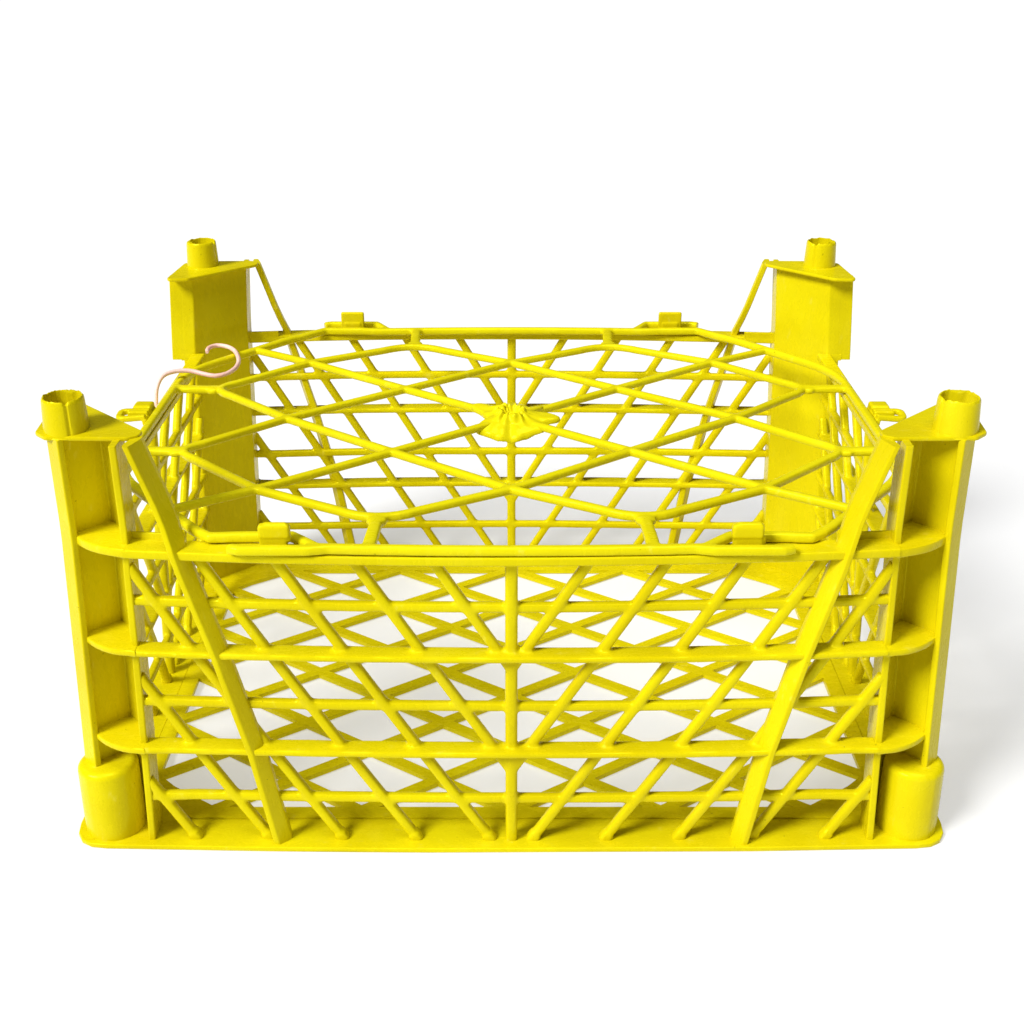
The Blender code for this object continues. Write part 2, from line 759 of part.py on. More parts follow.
def lid_has(i, j):
    inside = abs(i) <= 2 and abs(j) <= 2
    return inside or (abs(i), abs(j)) in ((1, 3), (3, 1), (3, 3))


def lid_lines():
    """Start and end points of every bar of the lid's lattice."""
    lines = []
    for i in range(-3, 4):
        for j in range(-3, 4):
            if (i + j) % 2 or not lid_has(i, j):
                continue
            for step in (-1, 1):
                if lid_has(i + 1, j + step):
                    lines.append((lid_node(i, j), lid_node(i + 1, j + step)))
    for side_x, side_y in catch_corners():
        top = lid_node(side_x, 3 * side_y)
        lines.append((top, Vector((top.x + LID_STUB_LEAN * side_x, side_y * LID_STUB_END[1]))))
        end = lid_node(3 * side_x, side_y)
        lines.append((end, Vector((side_x * LID_STUB_END[0], end.y))))
    return lines


def lid_bar(start, end, lift):
    """A flat bar between two points of the lid, a little longer than the line."""
    run = end - start
    past = LID_LATTICE_BAR / 4
    high = LID_LOW + LID_BAR - LID_DROP - lift
    bar = block("bar", (-past, -LID_LATTICE_BAR / 2, LID_LOW + LID_DROP / 2 + lift),
                (run.length + past, LID_LATTICE_BAR / 2, high))
    turn = Matrix.Rotation(math.atan2(run.y, run.x), 4, "Z")
    bar.data.transform(Matrix.Translation((*start, 0)) @ turn)
    return bar


def make_lid_lattice():
    bars = []
    for start, end in lid_lines():
        rising = (end - start).y > 0
        bars.append(lid_bar(start, end, GAP / 3 if rising else 2 * GAP / 3))
    lattice = fused("lid_lattice", bars)
    low, high = LID_LOW - LID_BAR, LID_LOW + 2 * LID_BAR
    inside = flat("inside", lid_ring(-LID_BAR / 2 - GAP), low, high)
    lattice = combine("lid_lattice", lattice, [inside], "INTERSECT")
    keep_out = []
    for side_x, side_y in catch_corners():
        keep_out.append(flat("ring", eyelet_ring(side_x, side_y, EYELET_BAR + GAP), low, high))
    cut(lattice, keep_out)


def make_gate_boss():
    """The ragged flower of plastic where the lid was injected."""
    low = LID_LOW + LID_BAR
    steps = 6 * GATE_PETALS
    outline = []
    for i in range(steps):
        a = math.tau * i / steps
        radius = GATE_R * (1 - GATE_WAVE + GATE_WAVE * math.cos(GATE_PETALS * a + 0.6))
        outline.append((radius * math.cos(a), GATE_SQUASH * radius * math.sin(a)))
    flower = flat("flower", shifted(outline), low, low + GATE_THICK)
    middle = (0, LID_SHIFT)
    neck = drum("neck", middle, GATE_NECK_R, low + GATE_THICK / 2, low + GATE_NECK_HIGH)
    boss = fused("lid_gate_boss", [flower, neck])
    rim = low + GATE_NECK_HIGH
    crater = drum("crater", middle, GATE_CRATER_R, rim - GATE_CRATER_DEEP, rim + GATE_THICK)
    cut(boss, [crater])


# ---------------------------------------------------------------- catches

def make_long_catches():
    """Upright tab with a thicker head, standing on the rim inside each eyelet."""
    outer = catch_outer_y()
    inner = outer - CATCH_THICK
    low = RIM_TOP + GAP
    top = low + CATCH_HIGH
    left, right = CATCH_X - CATCH_WIDE / 2, CATCH_X + CATCH_WIDE / 2
    step = CATCH_NECK_STEP
    neck = block("neck", (left + step, inner + step, low), (right - step, outer, top - CATCH_HEAD_HIGH / 2))
    head = block("head", (left, inner, top - CATCH_HEAD_HIGH), (right, outer - CATCH_HEAD_STEP, top))
    catch = fused("catch", [neck, head])
    in_each_corner(catch, "catch")


def make_side_catches():
    """Hook on each short rim, with a grip that reaches outwards."""
    low = RIM_TOP + GAP
    half = SIDE_CATCH_WIDE / 2
    step = CATCH_NECK_STEP
    root = LID_X + LID_BAR / 2 + SIDE_CATCH_CLEAR
    bend = SIDE_GRIP_HIGH - CATCH_HEAD_STEP
    upright = block("upright", (root, -half, low), (root + SIDE_CATCH_THICK, half, low + bend))
    grip = block("grip", (root + step, -half + step, low + SIDE_GRIP_LOW),
                 (SIDE_CATCH_REACH, half - step, low + SIDE_GRIP_HIGH))
    tip = SIDE_CATCH_REACH - CATCH_HEAD_STEP / 2
    lip = block("lip", (tip - SIDE_LIP_THICK, -half + 3 * step, low + SIDE_LIP_LOW),
                (tip, half - 3 * step, low + SIDE_GRIP_LOW + SIDE_LIP_THICK / 2))
    catch = fused("catch", [upright, grip, lip])
    for name, side in (("left", -1), ("right", 1)):
        mirrored(catch, f"catch_{name}", side, 1)
    bpy.data.objects.remove(catch, do_unlink=True)


# ---------------------------------------------------------------- tie cord

def smooth_route(points, step):
    """Points close together on a smooth curve through the route's points."""
    route = [Vector(point) for point in points]
    ends = [2 * route[0] - route[1], *route, 2 * route[-1] - route[-2]]
    fine = []
    for i in range(1, len(ends) - 2):
        before, start, end, after = ends[i - 1:i + 3]
        pieces = max(1, round((end - start).length / step))
        for k in range(pieces):
            t = k / pieces
            bend = (2 * before - 5 * start + 4 * end - after) * t ** 2
            twist = (3 * start - before - 3 * end + after) * t ** 3
            fine.append((2 * start + (end - before) * t + bend + twist) / 2)
    return fine + [route[-1]]


def make_tie_cord():
    curve = bpy.data.curves.new("tie_cord", "CURVE")
    curve.dimensions = "3D"
    curve.bevel_depth = CORD_R
    curve.bevel_resolution = 2
    curve.use_fill_caps = True
    points = smooth_route(CORD_ROUTE, CORD_STEP)
    spline = curve.splines.new("POLY")
    spline.points.add(len(points) - 1)
    for point, co in zip(spline.points, points):
        point.co = (*co, 1)
    cord = bpy.data.objects.new("tie_cord", curve)
    parts.objects.link(cord)
    baked(cord, "tie_cord")


# ---------------------------------------------------------------- the crate

clear_scene()
parts = new_collection(NAME)
make_base_flange()
make_floor()
make_long_walls()
make_short_walls()
make_posts()
make_braces()
make_top_plates()
make_pegs()
make_feet()
make_lid_frame()
make_lid_lattice()
make_gate_boss()
make_long_catches()
make_side_catches()
make_tie_cord()
for part in parts.objects:
    if part.name == "tie_cord":
        part.data.materials.append(finish(part.name, CORD_COLOUR, CORD_ROUGHNESS))
    else:
        part.data.materials.append(finish(part.name, PLASTIC, PLASTIC_ROUGHNESS))
    part.data.shade_smooth()
    part.data.set_sharp_from_angle(angle=math.radians(30))
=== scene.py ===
"""Looks of the stacking crate: one moulding with a clip-on lattice lid, both in yellow plastic.

Metres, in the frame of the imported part: +X right, +Y back, +Z up. Every member of the two
mouldings is made again with rounded bars, fillets and the flaws of a cheap injection
moulding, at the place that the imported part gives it.
"""
import math

import bmesh
import bpy
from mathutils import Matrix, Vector, noise


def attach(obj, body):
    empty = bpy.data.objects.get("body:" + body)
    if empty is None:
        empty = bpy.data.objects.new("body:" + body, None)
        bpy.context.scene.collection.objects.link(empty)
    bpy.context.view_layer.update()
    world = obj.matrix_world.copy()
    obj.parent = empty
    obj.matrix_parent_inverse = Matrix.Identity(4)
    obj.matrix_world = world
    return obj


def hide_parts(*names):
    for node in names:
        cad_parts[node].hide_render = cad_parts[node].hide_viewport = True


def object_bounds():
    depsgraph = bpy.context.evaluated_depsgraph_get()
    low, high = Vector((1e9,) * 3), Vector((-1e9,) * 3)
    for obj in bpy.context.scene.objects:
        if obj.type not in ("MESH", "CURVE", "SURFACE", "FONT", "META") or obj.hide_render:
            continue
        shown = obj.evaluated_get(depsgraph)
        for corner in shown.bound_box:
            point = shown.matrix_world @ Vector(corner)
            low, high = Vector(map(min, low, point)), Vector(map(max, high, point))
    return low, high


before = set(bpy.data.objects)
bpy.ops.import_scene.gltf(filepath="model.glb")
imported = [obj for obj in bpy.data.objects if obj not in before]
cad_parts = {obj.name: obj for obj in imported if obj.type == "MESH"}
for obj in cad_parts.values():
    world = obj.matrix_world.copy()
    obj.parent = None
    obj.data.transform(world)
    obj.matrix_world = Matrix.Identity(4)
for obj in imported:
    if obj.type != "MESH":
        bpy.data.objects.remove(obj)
cad_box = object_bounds()
noise.seed_set(7)               # without a seed of its own, noise_vector() starts from the clock

# Levels
FLANGE_TOP = 0.0024
RIM_BOTTOM = 0.148
RIM_TOP = 0.152
RIB_LEVELS = (0.0516, 0.1009)   # undersides of the two shelf ribs
RIB_THICK = 0.003
BAR_LEVELS = (0.025, 0.075, 0.125)
PLATE_TOP = 0.198
PLATE_THICK = 0.0019
POST_TOP = 0.1958
PEG_TOP = 0.2125
SINK = 0.0012                   # members run this far into the neighbour that they are moulded to
WALL_FOOT = FLANGE_TOP - SINK
WALL_HEAD = RIM_BOTTOM + SINK

# Upright planes at rim level, before settle()
WALL_Y = 0.1452
WALL_X = 0.1840
SHELF_Y = 0.150
SHELF_X = 0.1885
LATTICE_THICK = 0.005
RIM_DEPTH = 0.012
SIDE_RIM_DEPTH = 0.0075
RIM_EDGE = 0.0010
RIB_EDGE = 0.0009
RIB_BITE = 0.0004               # the shelf ribs run this far past the inner side of the lattice
LIP_START = 0.1395
LIP_HIGH = 0.0030
LIP_THICK = 0.0014
LIP_EDGE = 0.0005
POST_X = 0.156
POST_Y = 0.106

# Lattice bars
LEVEL_R = 0.0022
LEVEL_SETBACK = 0.0006          # the level bars lie this far behind the outer side of the slanted ones
SLANT_R = 0.0023
MID_BAR = 0.0048
MID_SWELL = 0.0003              # added to the middle bar's radius, and moved outwards by as much
SLANT = 0.60                    # sideways run of a slanted bar for each unit of height
SLANT_PITCH = 0.0322
SHORTEST_BAR = 0.012            # a slanted bar that would be lower than this is left out
TOE_LIFTS = (0, 0.0015, 0.0040)
TOE_SWELL = 1.25
STATION = 0.010                 # distance between the sections of a long member

# Voxels of the melted meshes: fine enough for the fillets, coarse enough to keep each mesh small
LONG_WALL_VOXEL = 0.00085
SIDE_WALL_VOXEL = 0.0009
LID_VOXEL = 0.00087
GATE_VOXEL = 0.00042
CATCH_VOXEL = 0.00045

# Draft, lean and belly of the moulding
SPREAD = 0.040
DRAFT = 0.0015
BELLY_RIM = 0.009
BELLY_BASE = 0.003
BELLY_SPAN = 0.165
NECK = 0.0046

# Corner posts
FLANGE_TIP_Y = 0.1453
POST_FLANGE = 0.0031
WEB = 0.0026
PANEL_SUM = 0.2915
CORNER_SUM = 0.3203
WEB_OFFSET = 0.04815
CORNER_HALF = 0.00465
CORNER_DEPTH = 0.0031
WING_X = 0.1952                 # above the rim the side flange reaches out to here
POST_EDGE = 0.0004

# Sections (z, inner x, outer x, inner y, outer y) of the back right strap
STRAP_SECTIONS = (
    (WALL_FOOT, 0.0960, 0.1032, SHELF_Y - 0.0085, SHELF_Y - 0.0004),
    (0.0530, 0.1052, 0.1122, SHELF_Y - 0.0080, SHELF_Y + 0.0004),
    (0.1024, 0.1178, 0.1242, SHELF_Y - 0.0080, SHELF_Y + 0.0012),
    (RIM_BOTTOM - 0.004, 0.1300, 0.1361, SHELF_Y - 0.0085, SHELF_Y + 0.0018),
    (RIM_TOP + 0.002, 0.1327, 0.1386, SHELF_Y - 0.0088, SHELF_Y + 0.0017),
    (POST_TOP + SINK, 0.1480, 0.1535, FLANGE_TIP_Y - 0.0117, FLANGE_TIP_Y + 0.0006),
)
STRAP_STEPS = 5                 # rings between two sections
STRAP_FRONT = 0.0024
STRAP_BACK = 0.0034
STRAP_EDGE = 0.0006

# Top plates
PLATE_OUTLINE = (
    (0.1865, 0.1420), (0.1530, 0.1428), (0.1492, 0.1400), (0.1488, 0.1350),
    (0.1825, 0.1020), (0.1925, 0.1010), (0.1945, 0.1030), (0.1920, 0.1365),
)
PLATE_CORNER = 0.0012
PLATE_EDGE = 0.0006

# Pegs and feet
PEG_XY = Vector((0.180, 0.133))
PEG_BASE_R = 0.0092
PEG_TIP_R = 0.0084
PEG_BORE_R = 0.0060
PEG_SIDES = 96
DRUM_XY = Vector((0.1832, 0.134))
DRUM_R = 0.014
DRUM_TOP = 0.038

# Lid
LID_LOW = 0.1523
LID_BAR = 0.0044
LID_MID = LID_LOW + LID_BAR / 2
LID_Y = 0.1415
LID_X = 0.180
LID_SHIFT = Vector((0, -0.0062, 0))
LID_CORNER = 0.060, 0.074
LID_NODE = 0.0565, 0.0445
LID_EDGE_NODE = 0.158, 0.1215
LID_CORNER_NODE = 0.1475, 0.1115
LID_TURN = 0.022                # run of the curve at each end of a slanted corner
EDGE_R = 0.0023
EDGE_FLAT = 0.94
LATTICE_R = 0.0021
LATTICE_FLAT = 0.95
LONG_SWING = 0.020              # bars start to swing round this far from a junction on a long edge
SIDE_SWING = 0.014              # and this far from one on a short edge
STUB_R = 0.0029
STUB_FLAT = 0.66
PAD_R = 0.0044                  # flat pad of plastic at each junction
PAD_FLAT = 0.4

# Gate
GATE_R = 0.020
GATE_SIDES = 144
GATE_BASE = LID_LOW + LID_BAR - 0.0030
GATE_TURN = math.atan2(LID_NODE[1], LID_NODE[0])
GATE_COLLAR = 0.55              # petals lie outside this share of the flower, the torn collar inside it
# Direction, width and reach of each petal, in radians and in shares of GATE_R
GATE_PETALS = (
    (math.pi - GATE_TURN, 0.24, 0.60), (math.pi + GATE_TURN, 0.16, 0.30), (GATE_TURN, 0.16, 0.34),
    (-GATE_TURN, 0.16, 0.28), (-1.10, 0.42, 0.26), (-2.05, 0.45, 0.36), (-0.14, 0.24, 0.62),
    (1.35, 0.55, 0.24),
)
# Share of the flower's reach and height over GATE_BASE, from the outer edge in to the gate's pit
GATE_PROFILE = (
    (1.0, 0.0016), (0.985, 0.0028), (0.93, 0.0034), (0.78, 0.0038), (0.60, 0.0042), (0.50, 0.0052),
    (0.43, 0.0062), (0.36, 0.0062), (0.29, 0.0040), (0.22, 0.0026), (0.10, 0.0022),
)

# Catches
CATCH_X = 0.0963
CATCH_WIDE = 0.014
CATCH_HIGH = 0.0135
CATCH_THICK = 0.0040
CATCH_INSET = 0.0044
CATCH_LOW = RIM_TOP - 0.0004
CATCH_TOP = RIM_TOP - 0.0008 + CATCH_HIGH
FRONT_CATCH_SHIFT = 0.0020      # the front catches stand this much further out than the back ones
EYELET_LONG = 0.040
EYELET_CLEAR = 0.0026
EYELET_OFF = 0.0003
SIDE_CATCH_WIDE = 0.020
SIDE_CATCH_REACH = 0.1995

# Tie cord
CORD_R = 0.0012
CORD_STEP = 0.0030
CORD_SIDES = 14
CORD_END = 0.72                 # the ends are drawn in to this share of the radius
CORD_ROUTE = (
    (-0.1898, 0.0350, 0.1360), (-0.1900, 0.0360, 0.1460), (-0.1896, 0.0390, 0.1545),
    (-0.1872, 0.0445, 0.1596), (-0.1815, 0.0500, 0.1606), (-0.1740, 0.0525, 0.1600),
    (-0.1665, 0.0505, 0.1590), (-0.1600, 0.0485, 0.1585), (-0.1545, 0.0520, 0.1585),
    (-0.1515, 0.0610, 0.1585), (-0.1515, 0.0720, 0.1585), (-0.1540, 0.0830, 0.1585),
    (-0.1580, 0.0935, 0.1585), (-0.1635, 0.1000, 0.1587), (-0.1695, 0.1010, 0.1590),
    (-0.1730, 0.0960, 0.1590), (-0.1725, 0.0890, 0.1588),
)

CORNERS = [(end, side, side_x, side_y) for end, side_y in (("front", -1), ("back", 1))
           for side, side_x in (("left", -1), ("right", 1))]


# ---------------------------------------------------------------- materials

class Nodes:
    """Adds nodes to a material in few words."""

    def __init__(self, name):
        self.material = bpy.data.materials.new(name)
        self.material.use_nodes = True
        self.tree = self.material.node_tree
        self.shader = self.tree.nodes["Principled BSDF"]
        self.place = self.tree.nodes.new("ShaderNodeTexCoord").outputs["Object"]

    def add(self, kind, links=(), **settings):
        node = self.tree.nodes.new("ShaderNode" + kind)
        for key, value in settings.items():
            if hasattr(node, key):
                setattr(node, key, value)
            else:
                node.inputs[key.replace("_", " ")].default_value = value
        for key, source in dict(links).items():
            self.tree.links.new(source, node.inputs[key])
        return node

    def stretched(self, x, y, z):
        return self.add("Mapping", {"Vector": self.place}, Scale=(x, y, z)).outputs["Vector"]

    def noise(self, scale, detail=3.0, rough=0.55, vector=None):
        vector = vector or self.place
        node = self.add("TexNoise", {"Vector": vector}, Scale=scale, Detail=detail, Roughness=rough)
        return node.outputs["Fac"]

    def mapped(self, value, low, high, to_low, to_high):
        node = self.add("MapRange", {"Value": value})
        for key, number in (("From Min", low), ("From Max", high), ("To Min", to_low), ("To Max", to_high)):
            node.inputs[key].default_value = number
        return node.outputs["Result"]

    def mixed(self, factor, first, second):
        """Mix of two colours, each a tuple or a socket."""
        node = self.add("Mix", {"Factor": factor}, data_type="RGBA")
        for index, colour in ((6, first), (7, second)):
            if isinstance(colour, tuple):
                node.inputs[index].default_value = (*colour, 1.0)
            else:
                self.tree.links.new(colour, node.inputs[index])
        return node.outputs[2]

    def bumped(self, height, distance, strength, below=None):
        links = {"Height": height}
        if below:
            links["Normal"] = below
        return self.add("Bump", links, Distance=distance, Strength=strength).outputs["Normal"]

    def finish(self, colour, roughness, normal):
        for key, source in (("Base Color", colour), ("Roughness", roughness), ("Normal", normal)):
            self.tree.links.new(source, self.shader.inputs[key])
        return self.material


def moulded_plastic(name, light, deep, gloss):
    """Glossy plastic with uneven pigment, flow marks, pores, specks of dirt and fine scuffs."""
    nodes = Nodes(name)
    cloud = nodes.mapped(nodes.noise(16, 4), 0.35, 0.68, 0, 1)
    colour = nodes.mixed(cloud, light, deep)
    flow = nodes.noise(55, 5, 0.6, nodes.stretched(1, 1, 0.3))
    pale = tuple(min(1.0, 1.08 * part + 0.02) for part in light)
    colour = nodes.mixed(nodes.mapped(flow, 0.55, 0.75, 0, 0.25), colour, pale)
    speck = nodes.mapped(nodes.noise(420, 2, 0.5), 0.745, 0.78, 0, 0.7)
    colour = nodes.mixed(speck, colour, tuple(0.42 * part for part in deep))
    scuff = nodes.noise(130, 6, 0.7, nodes.stretched(1, 1.8, 0.5))
    worn = (0.86, 0.79, 0.14)
    colour = nodes.mixed(nodes.mapped(scuff, 0.62, 0.74, 0, 0.35), colour, worn)
    roughness = nodes.mapped(scuff, 0.35, 0.75, gloss, gloss + 0.28)
    peel = nodes.bumped(nodes.noise(700, 2, 0.5), 0.0003, 0.22)
    wave = nodes.bumped(nodes.noise(95, 3, 0.5), 0.0016, 0.13, peel)
    nodes.shader.inputs["IOR"].default_value = 1.5
    nodes.shader.inputs["Specular IOR Level"].default_value = 0.16
    nodes.shader.inputs["Specular Tint"].default_value = (1.0, 0.96, 0.16, 1.0)
    nodes.shader.inputs["Metallic"].default_value = 0.07
    return nodes.finish(colour, roughness, wave)


def rubber_cord():
    """Pale pink elastic cord with a fine spiral weave and slightly soiled bends."""
    nodes = Nodes("tie_cord_pink")
    soil = nodes.mapped(nodes.noise(60, 4), 0.4, 0.7, 0, 1)
    colour = nodes.mixed(soil, (0.90, 0.60, 0.52), (0.80, 0.43, 0.36))
    weave = nodes.noise(1500, 2, 0.5, nodes.stretched(1, 0.4, 1))
    colour = nodes.mixed(nodes.mapped(weave, 0.5, 0.7, 0, 0.4), colour, (0.97, 0.80, 0.74))
    roughness = nodes.mapped(weave, 0.3, 0.7, 0.42, 0.6)
    nodes.shader.inputs["Subsurface Radius"].default_value = (0.002, 0.001, 0.0008)
    return nodes.finish(colour, roughness, nodes.bumped(weave, 0.0002, 0.5))


def light_table():
    """A white light table: a little light of its own keeps shadows on it pale."""
    nodes = Nodes("studio_floor")
    nodes.shader.inputs["Emission Color"].default_value = (1, 1, 1, 1)
    nodes.shader.inputs["Emission Strength"].default_value = 0.38
    colour = nodes.mixed(nodes.noise(3, 2), (0.50, 0.50, 0.50), (0.52, 0.52, 0.52))
    roughness = nodes.mapped(nodes.noise(8, 2), 0, 1, 0.8, 0.9)
    return nodes.finish(colour, roughness, nodes.bumped(nodes.noise(300, 2), 0.0001, 0.05))


crate_plastic = moulded_plastic("crate_yellow", (0.70, 0.605, 0.003), (0.61, 0.50, 0.002), 0.16)
lid_plastic = moulded_plastic("lid_yellow", (0.73, 0.65, 0.005), (0.64, 0.55, 0.003), 0.14)
cord_rubber = rubber_cord()


# ---------------------------------------------------------------- mesh tools

def made(name, bm):
    """An object from a bmesh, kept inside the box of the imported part."""
    bmesh.ops.recalc_face_normals(bm, faces=bm.faces)
    for vert in bm.verts:
        for axis in range(3):
            vert.co[axis] = min(max(vert.co[axis], cad_box[0][axis]), cad_box[1][axis])
    mesh = bpy.data.meshes.new(name)
    bm.to_mesh(mesh)
    bm.free()
    obj = bpy.data.objects.new(name, mesh)
    bpy.context.scene.collection.objects.link(obj)
    return obj


def applied(obj):
    """The object again, with its modifiers made part of its mesh."""
    bpy.context.view_layer.update()
    graph = bpy.context.evaluated_depsgraph_get()
    mesh = bpy.data.meshes.new_from_object(obj.evaluated_get(graph))
    obj.modifiers.clear()
    obj.data = mesh
    return obj


def melted(obj, voxel, passes):
    """Overlapping bars become one skin with moulded fillets."""
    remesh = obj.modifiers.new("skin", "REMESH")
    remesh.mode = "VOXEL"
    remesh.voxel_size = voxel
    smooth = obj.modifiers.new("fillets", "SMOOTH")
    smooth.factor = 0.5
    smooth.iterations = passes
    return applied(obj)


def united(obj, others):
    """Boolean union with the others, which are used up."""
    for other in others:
        union = obj.modifiers.new("union", "BOOLEAN")
        union.operation = "UNION"
        union.object = other
    applied(obj)
    for other in others:
        bpy.data.objects.remove(other, do_unlink=True)
    return obj


def mirrored(obj, name, side_x, side_y):
    bm = bmesh.new()
    bm.from_mesh(obj.data)
    bmesh.ops.scale(bm, vec=(side_x, side_y, 1), verts=bm.verts)
    return made(name, bm)


def dressed(obj, material, body, slot, *nodes):
    """Give a piece its finish and shading and the body that carries it, and hide the imported nodes that it
    stands for.
    """
    obj.data.materials.clear()
    obj.data.materials.append(material)
    obj.data.shade_smooth()
    obj.data.set_sharp_from_angle(angle=math.radians(40))
    even = obj.modifiers.new("even_normals", "WEIGHTED_NORMAL")
    even.keep_sharp = True
    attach(obj, body)
    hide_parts(*nodes)
    return obj


def skin(bm, rings, closed=False):
    """Faces between neighbouring rings of points, with flat ends unless the rings close up."""
    loops = [[bm.verts.new(point) for point in ring] for ring in rings]
    following = loops[1:] + loops[:1] if closed else loops[1:]
    for low, high in zip(loops, following):
        for i in range(len(low)):
            k = (i + 1) % len(low)
            bm.faces.new((low[i], low[k], high[k], high[i]))
    if not closed:
        bm.faces.new(loops[0])
        bm.faces.new(loops[-1])


def squared(value, power=0.55):
    """Pushes a sine towards 1 or -1, which turns a circle into a rounded square."""
    return math.copysign(abs(value) ** power, value)


def tube(bm, points, radius, up, flat=1.0, sides=16, closed=False):
    """A bar with rounded corners along points; flat under 1 makes it thinner towards up."""
    rings = []
    count = len(points)
    for i, point in enumerate(points):
        if closed:
            run = points[(i + 1) % count] - points[i - 1]
        else:
            run = points[min(i + 1, count - 1)] - points[max(i - 1, 0)]
        side = run.cross(up).normalized()
        top = side.cross(run).normalized()
        ring = []
        for k in range(sides):
            a = math.tau * k / sides
            ring.append(point + radius * (squared(math.cos(a)) * side + flat * squared(math.sin(a)) * top))
        rings.append(ring)
    skin(bm, rings, closed)


def between(start, end, step):
    """Evenly spaced points from start to end."""
    start, end = Vector(start), Vector(end)
    count = max(2, math.ceil((end - start).length / step))
    return [start.lerp(end, i / count) for i in range(count + 1)]


def curved(start, control, end, steps):
    """Points of a quadratic curve, without its last one."""
    start, control, end = Vector(start), Vector(control), Vector(end)
    shares = [i / steps for i in range(steps)]
    return [start.lerp(control, t).lerp(control.lerp(end, t), t) for t in shares]


def rounded(outline, radius, steps=3):
    """A closed outline with its corners rounded off."""
    points = [Vector(point) for point in outline]
    result = []
    for i, point in enumerate(points):
        before, after = points[i - 1] - point, points[(i + 1) % len(points)] - point
        start = point + before.normalized() * min(radius, 0.45 * before.length)
        end = point + after.normalized() * min(radius, 0.45 * after.length)
        result += curved(start, point, end, steps) + [end]
    return result


def inset(outline, depth):
    """A closed outline moved inwards; its points run counterclockwise."""
    result = []
    for i, point in enumerate(outline):
        run = (outline[(i + 1) % len(outline)] - outline[i - 1]).normalized()
        result.append(point + depth * Vector((-run.y, run.x)))
    return result


def counterclockwise(outline):
    turn = sum(a.cross(b) for a, b in zip(outline, outline[1:] + outline[:1]))
    return outline if turn > 0 else outline[::-1]


def slab(bm, outline, low, high, edge, rule=None):
    """A plate between two heights, with its upper and lower edges rounded off."""
    outline = counterclockwise(outline)
    levels = []
    for z, way in ((low, 1), (high, -1)):
        levels += [(z, edge), (z + way * 0.3 * edge, 0.3 * edge), (z + way * edge, 0)]
    inner = between((0, 0, low + edge), (0, 0, high - edge), STATION)[1:-1]
    levels += [(point.z, 0) for point in inner]
    rings = []
    for z, depth in sorted(levels):
        ring = [Vector((point.x, point.y, z)) for point in inset(outline, depth)]
        rings.append([rule(point) for point in ring] if rule else ring)
    skin(bm, rings)


def swept(bm, section, places, rule):
    """A member with an upright section in y and z, at places along x."""
    skin(bm, [[rule(Vector((x, point.x, point.y))) for point in section] for x in places])


def boxed(inner, outer, low, high, edge):
    """A rectangular section in y and z with rounded corners."""
    return rounded([(inner, low), (outer, low), (outer, high), (inner, high)], edge)


def stations(start, end, step=STATION):
    """Places along x for the sections of a swept member."""
    return [point.x for point in between((start, 0, 0), (end, 0, 0), step)]


def lump(bm, low, high, edge):
    """A block with rounded edges."""
    low, high = Vector(low), Vector(high)
    half = (high - low) / 2
    middle = (low + high) / 2
    outline = rounded([(-half.x, -half.y), (half.x, -half.y), (half.x, half.y), (-half.x, half.y)], edge)

    def shift(co):
        return Vector((co.x + middle.x, co.y + middle.y, co.z))

    slab(bm, outline, low.z, high.z, edge, shift)


def around(centre, turn, radius, z):
    """A point at a radius from an upright axis."""
    return Vector((centre.x + radius * math.cos(turn), centre.y + radius * math.sin(turn), z))


def near(turn, middle, width):
    """1 at the middle direction, falling smoothly towards 0 over about the width on either side."""
    return math.exp(-(math.remainder(turn - middle, math.tau) / width) ** 2)


def in_each_corner(obj, piece, node):
    """Four pieces of the crate mirrored from the back right one, which is used up."""
    for end, side, side_x, side_y in CORNERS:
        corner = mirrored(obj, f"{piece}_{end}_{side}", side_x, side_y)
        dressed(corner, crate_plastic, "crate", "crate_plastic", f"{node}_{end}_{side}")
    bpy.data.objects.remove(obj, do_unlink=True)


# ---------------------------------------------------------------- the moulding's shape

def spread(z):
    return 1 + SPREAD * (1 - z / POST_TOP)


def belly(x, z):
    """How far a long wall stands out of its upright plane."""
    level = min(z, RIM_TOP) / RIM_TOP
    deep = BELLY_BASE + (BELLY_RIM - BELLY_BASE) * level
    out = deep * max(0.0, 1 - (x / BELLY_SPAN) ** 2) - DRAFT * (1 - level)
    if z > RIM_TOP:
        out -= (out + NECK) * (z - RIM_TOP) / (POST_TOP - RIM_TOP)
    return out


def wavy(co):
    """Small warps, as thin mouldings have."""
    return co + 0.0005 * noise.noise_vector(9 * co)


def settle(co):
    return Vector((co.x * spread(co.z), co.y + math.copysign(belly(co.x, co.z), co.y), co.z))


def long_wall(side):
    def rule(co):
        placed = settle(co)
        return wavy(Vector((placed.x, side * placed.y, placed.z)))
    return rule


def short_wall(side):
    def rule(co):
        return wavy(Vector((side * co.y * spread(co.z), co.x, co.z)))
    return rule


def diagonal(along, across):
    """A point from its sum and difference of x and y."""
    return (along + across) / 2, (along - across) / 2


# ---------------------------------------------------------------- walls and rims

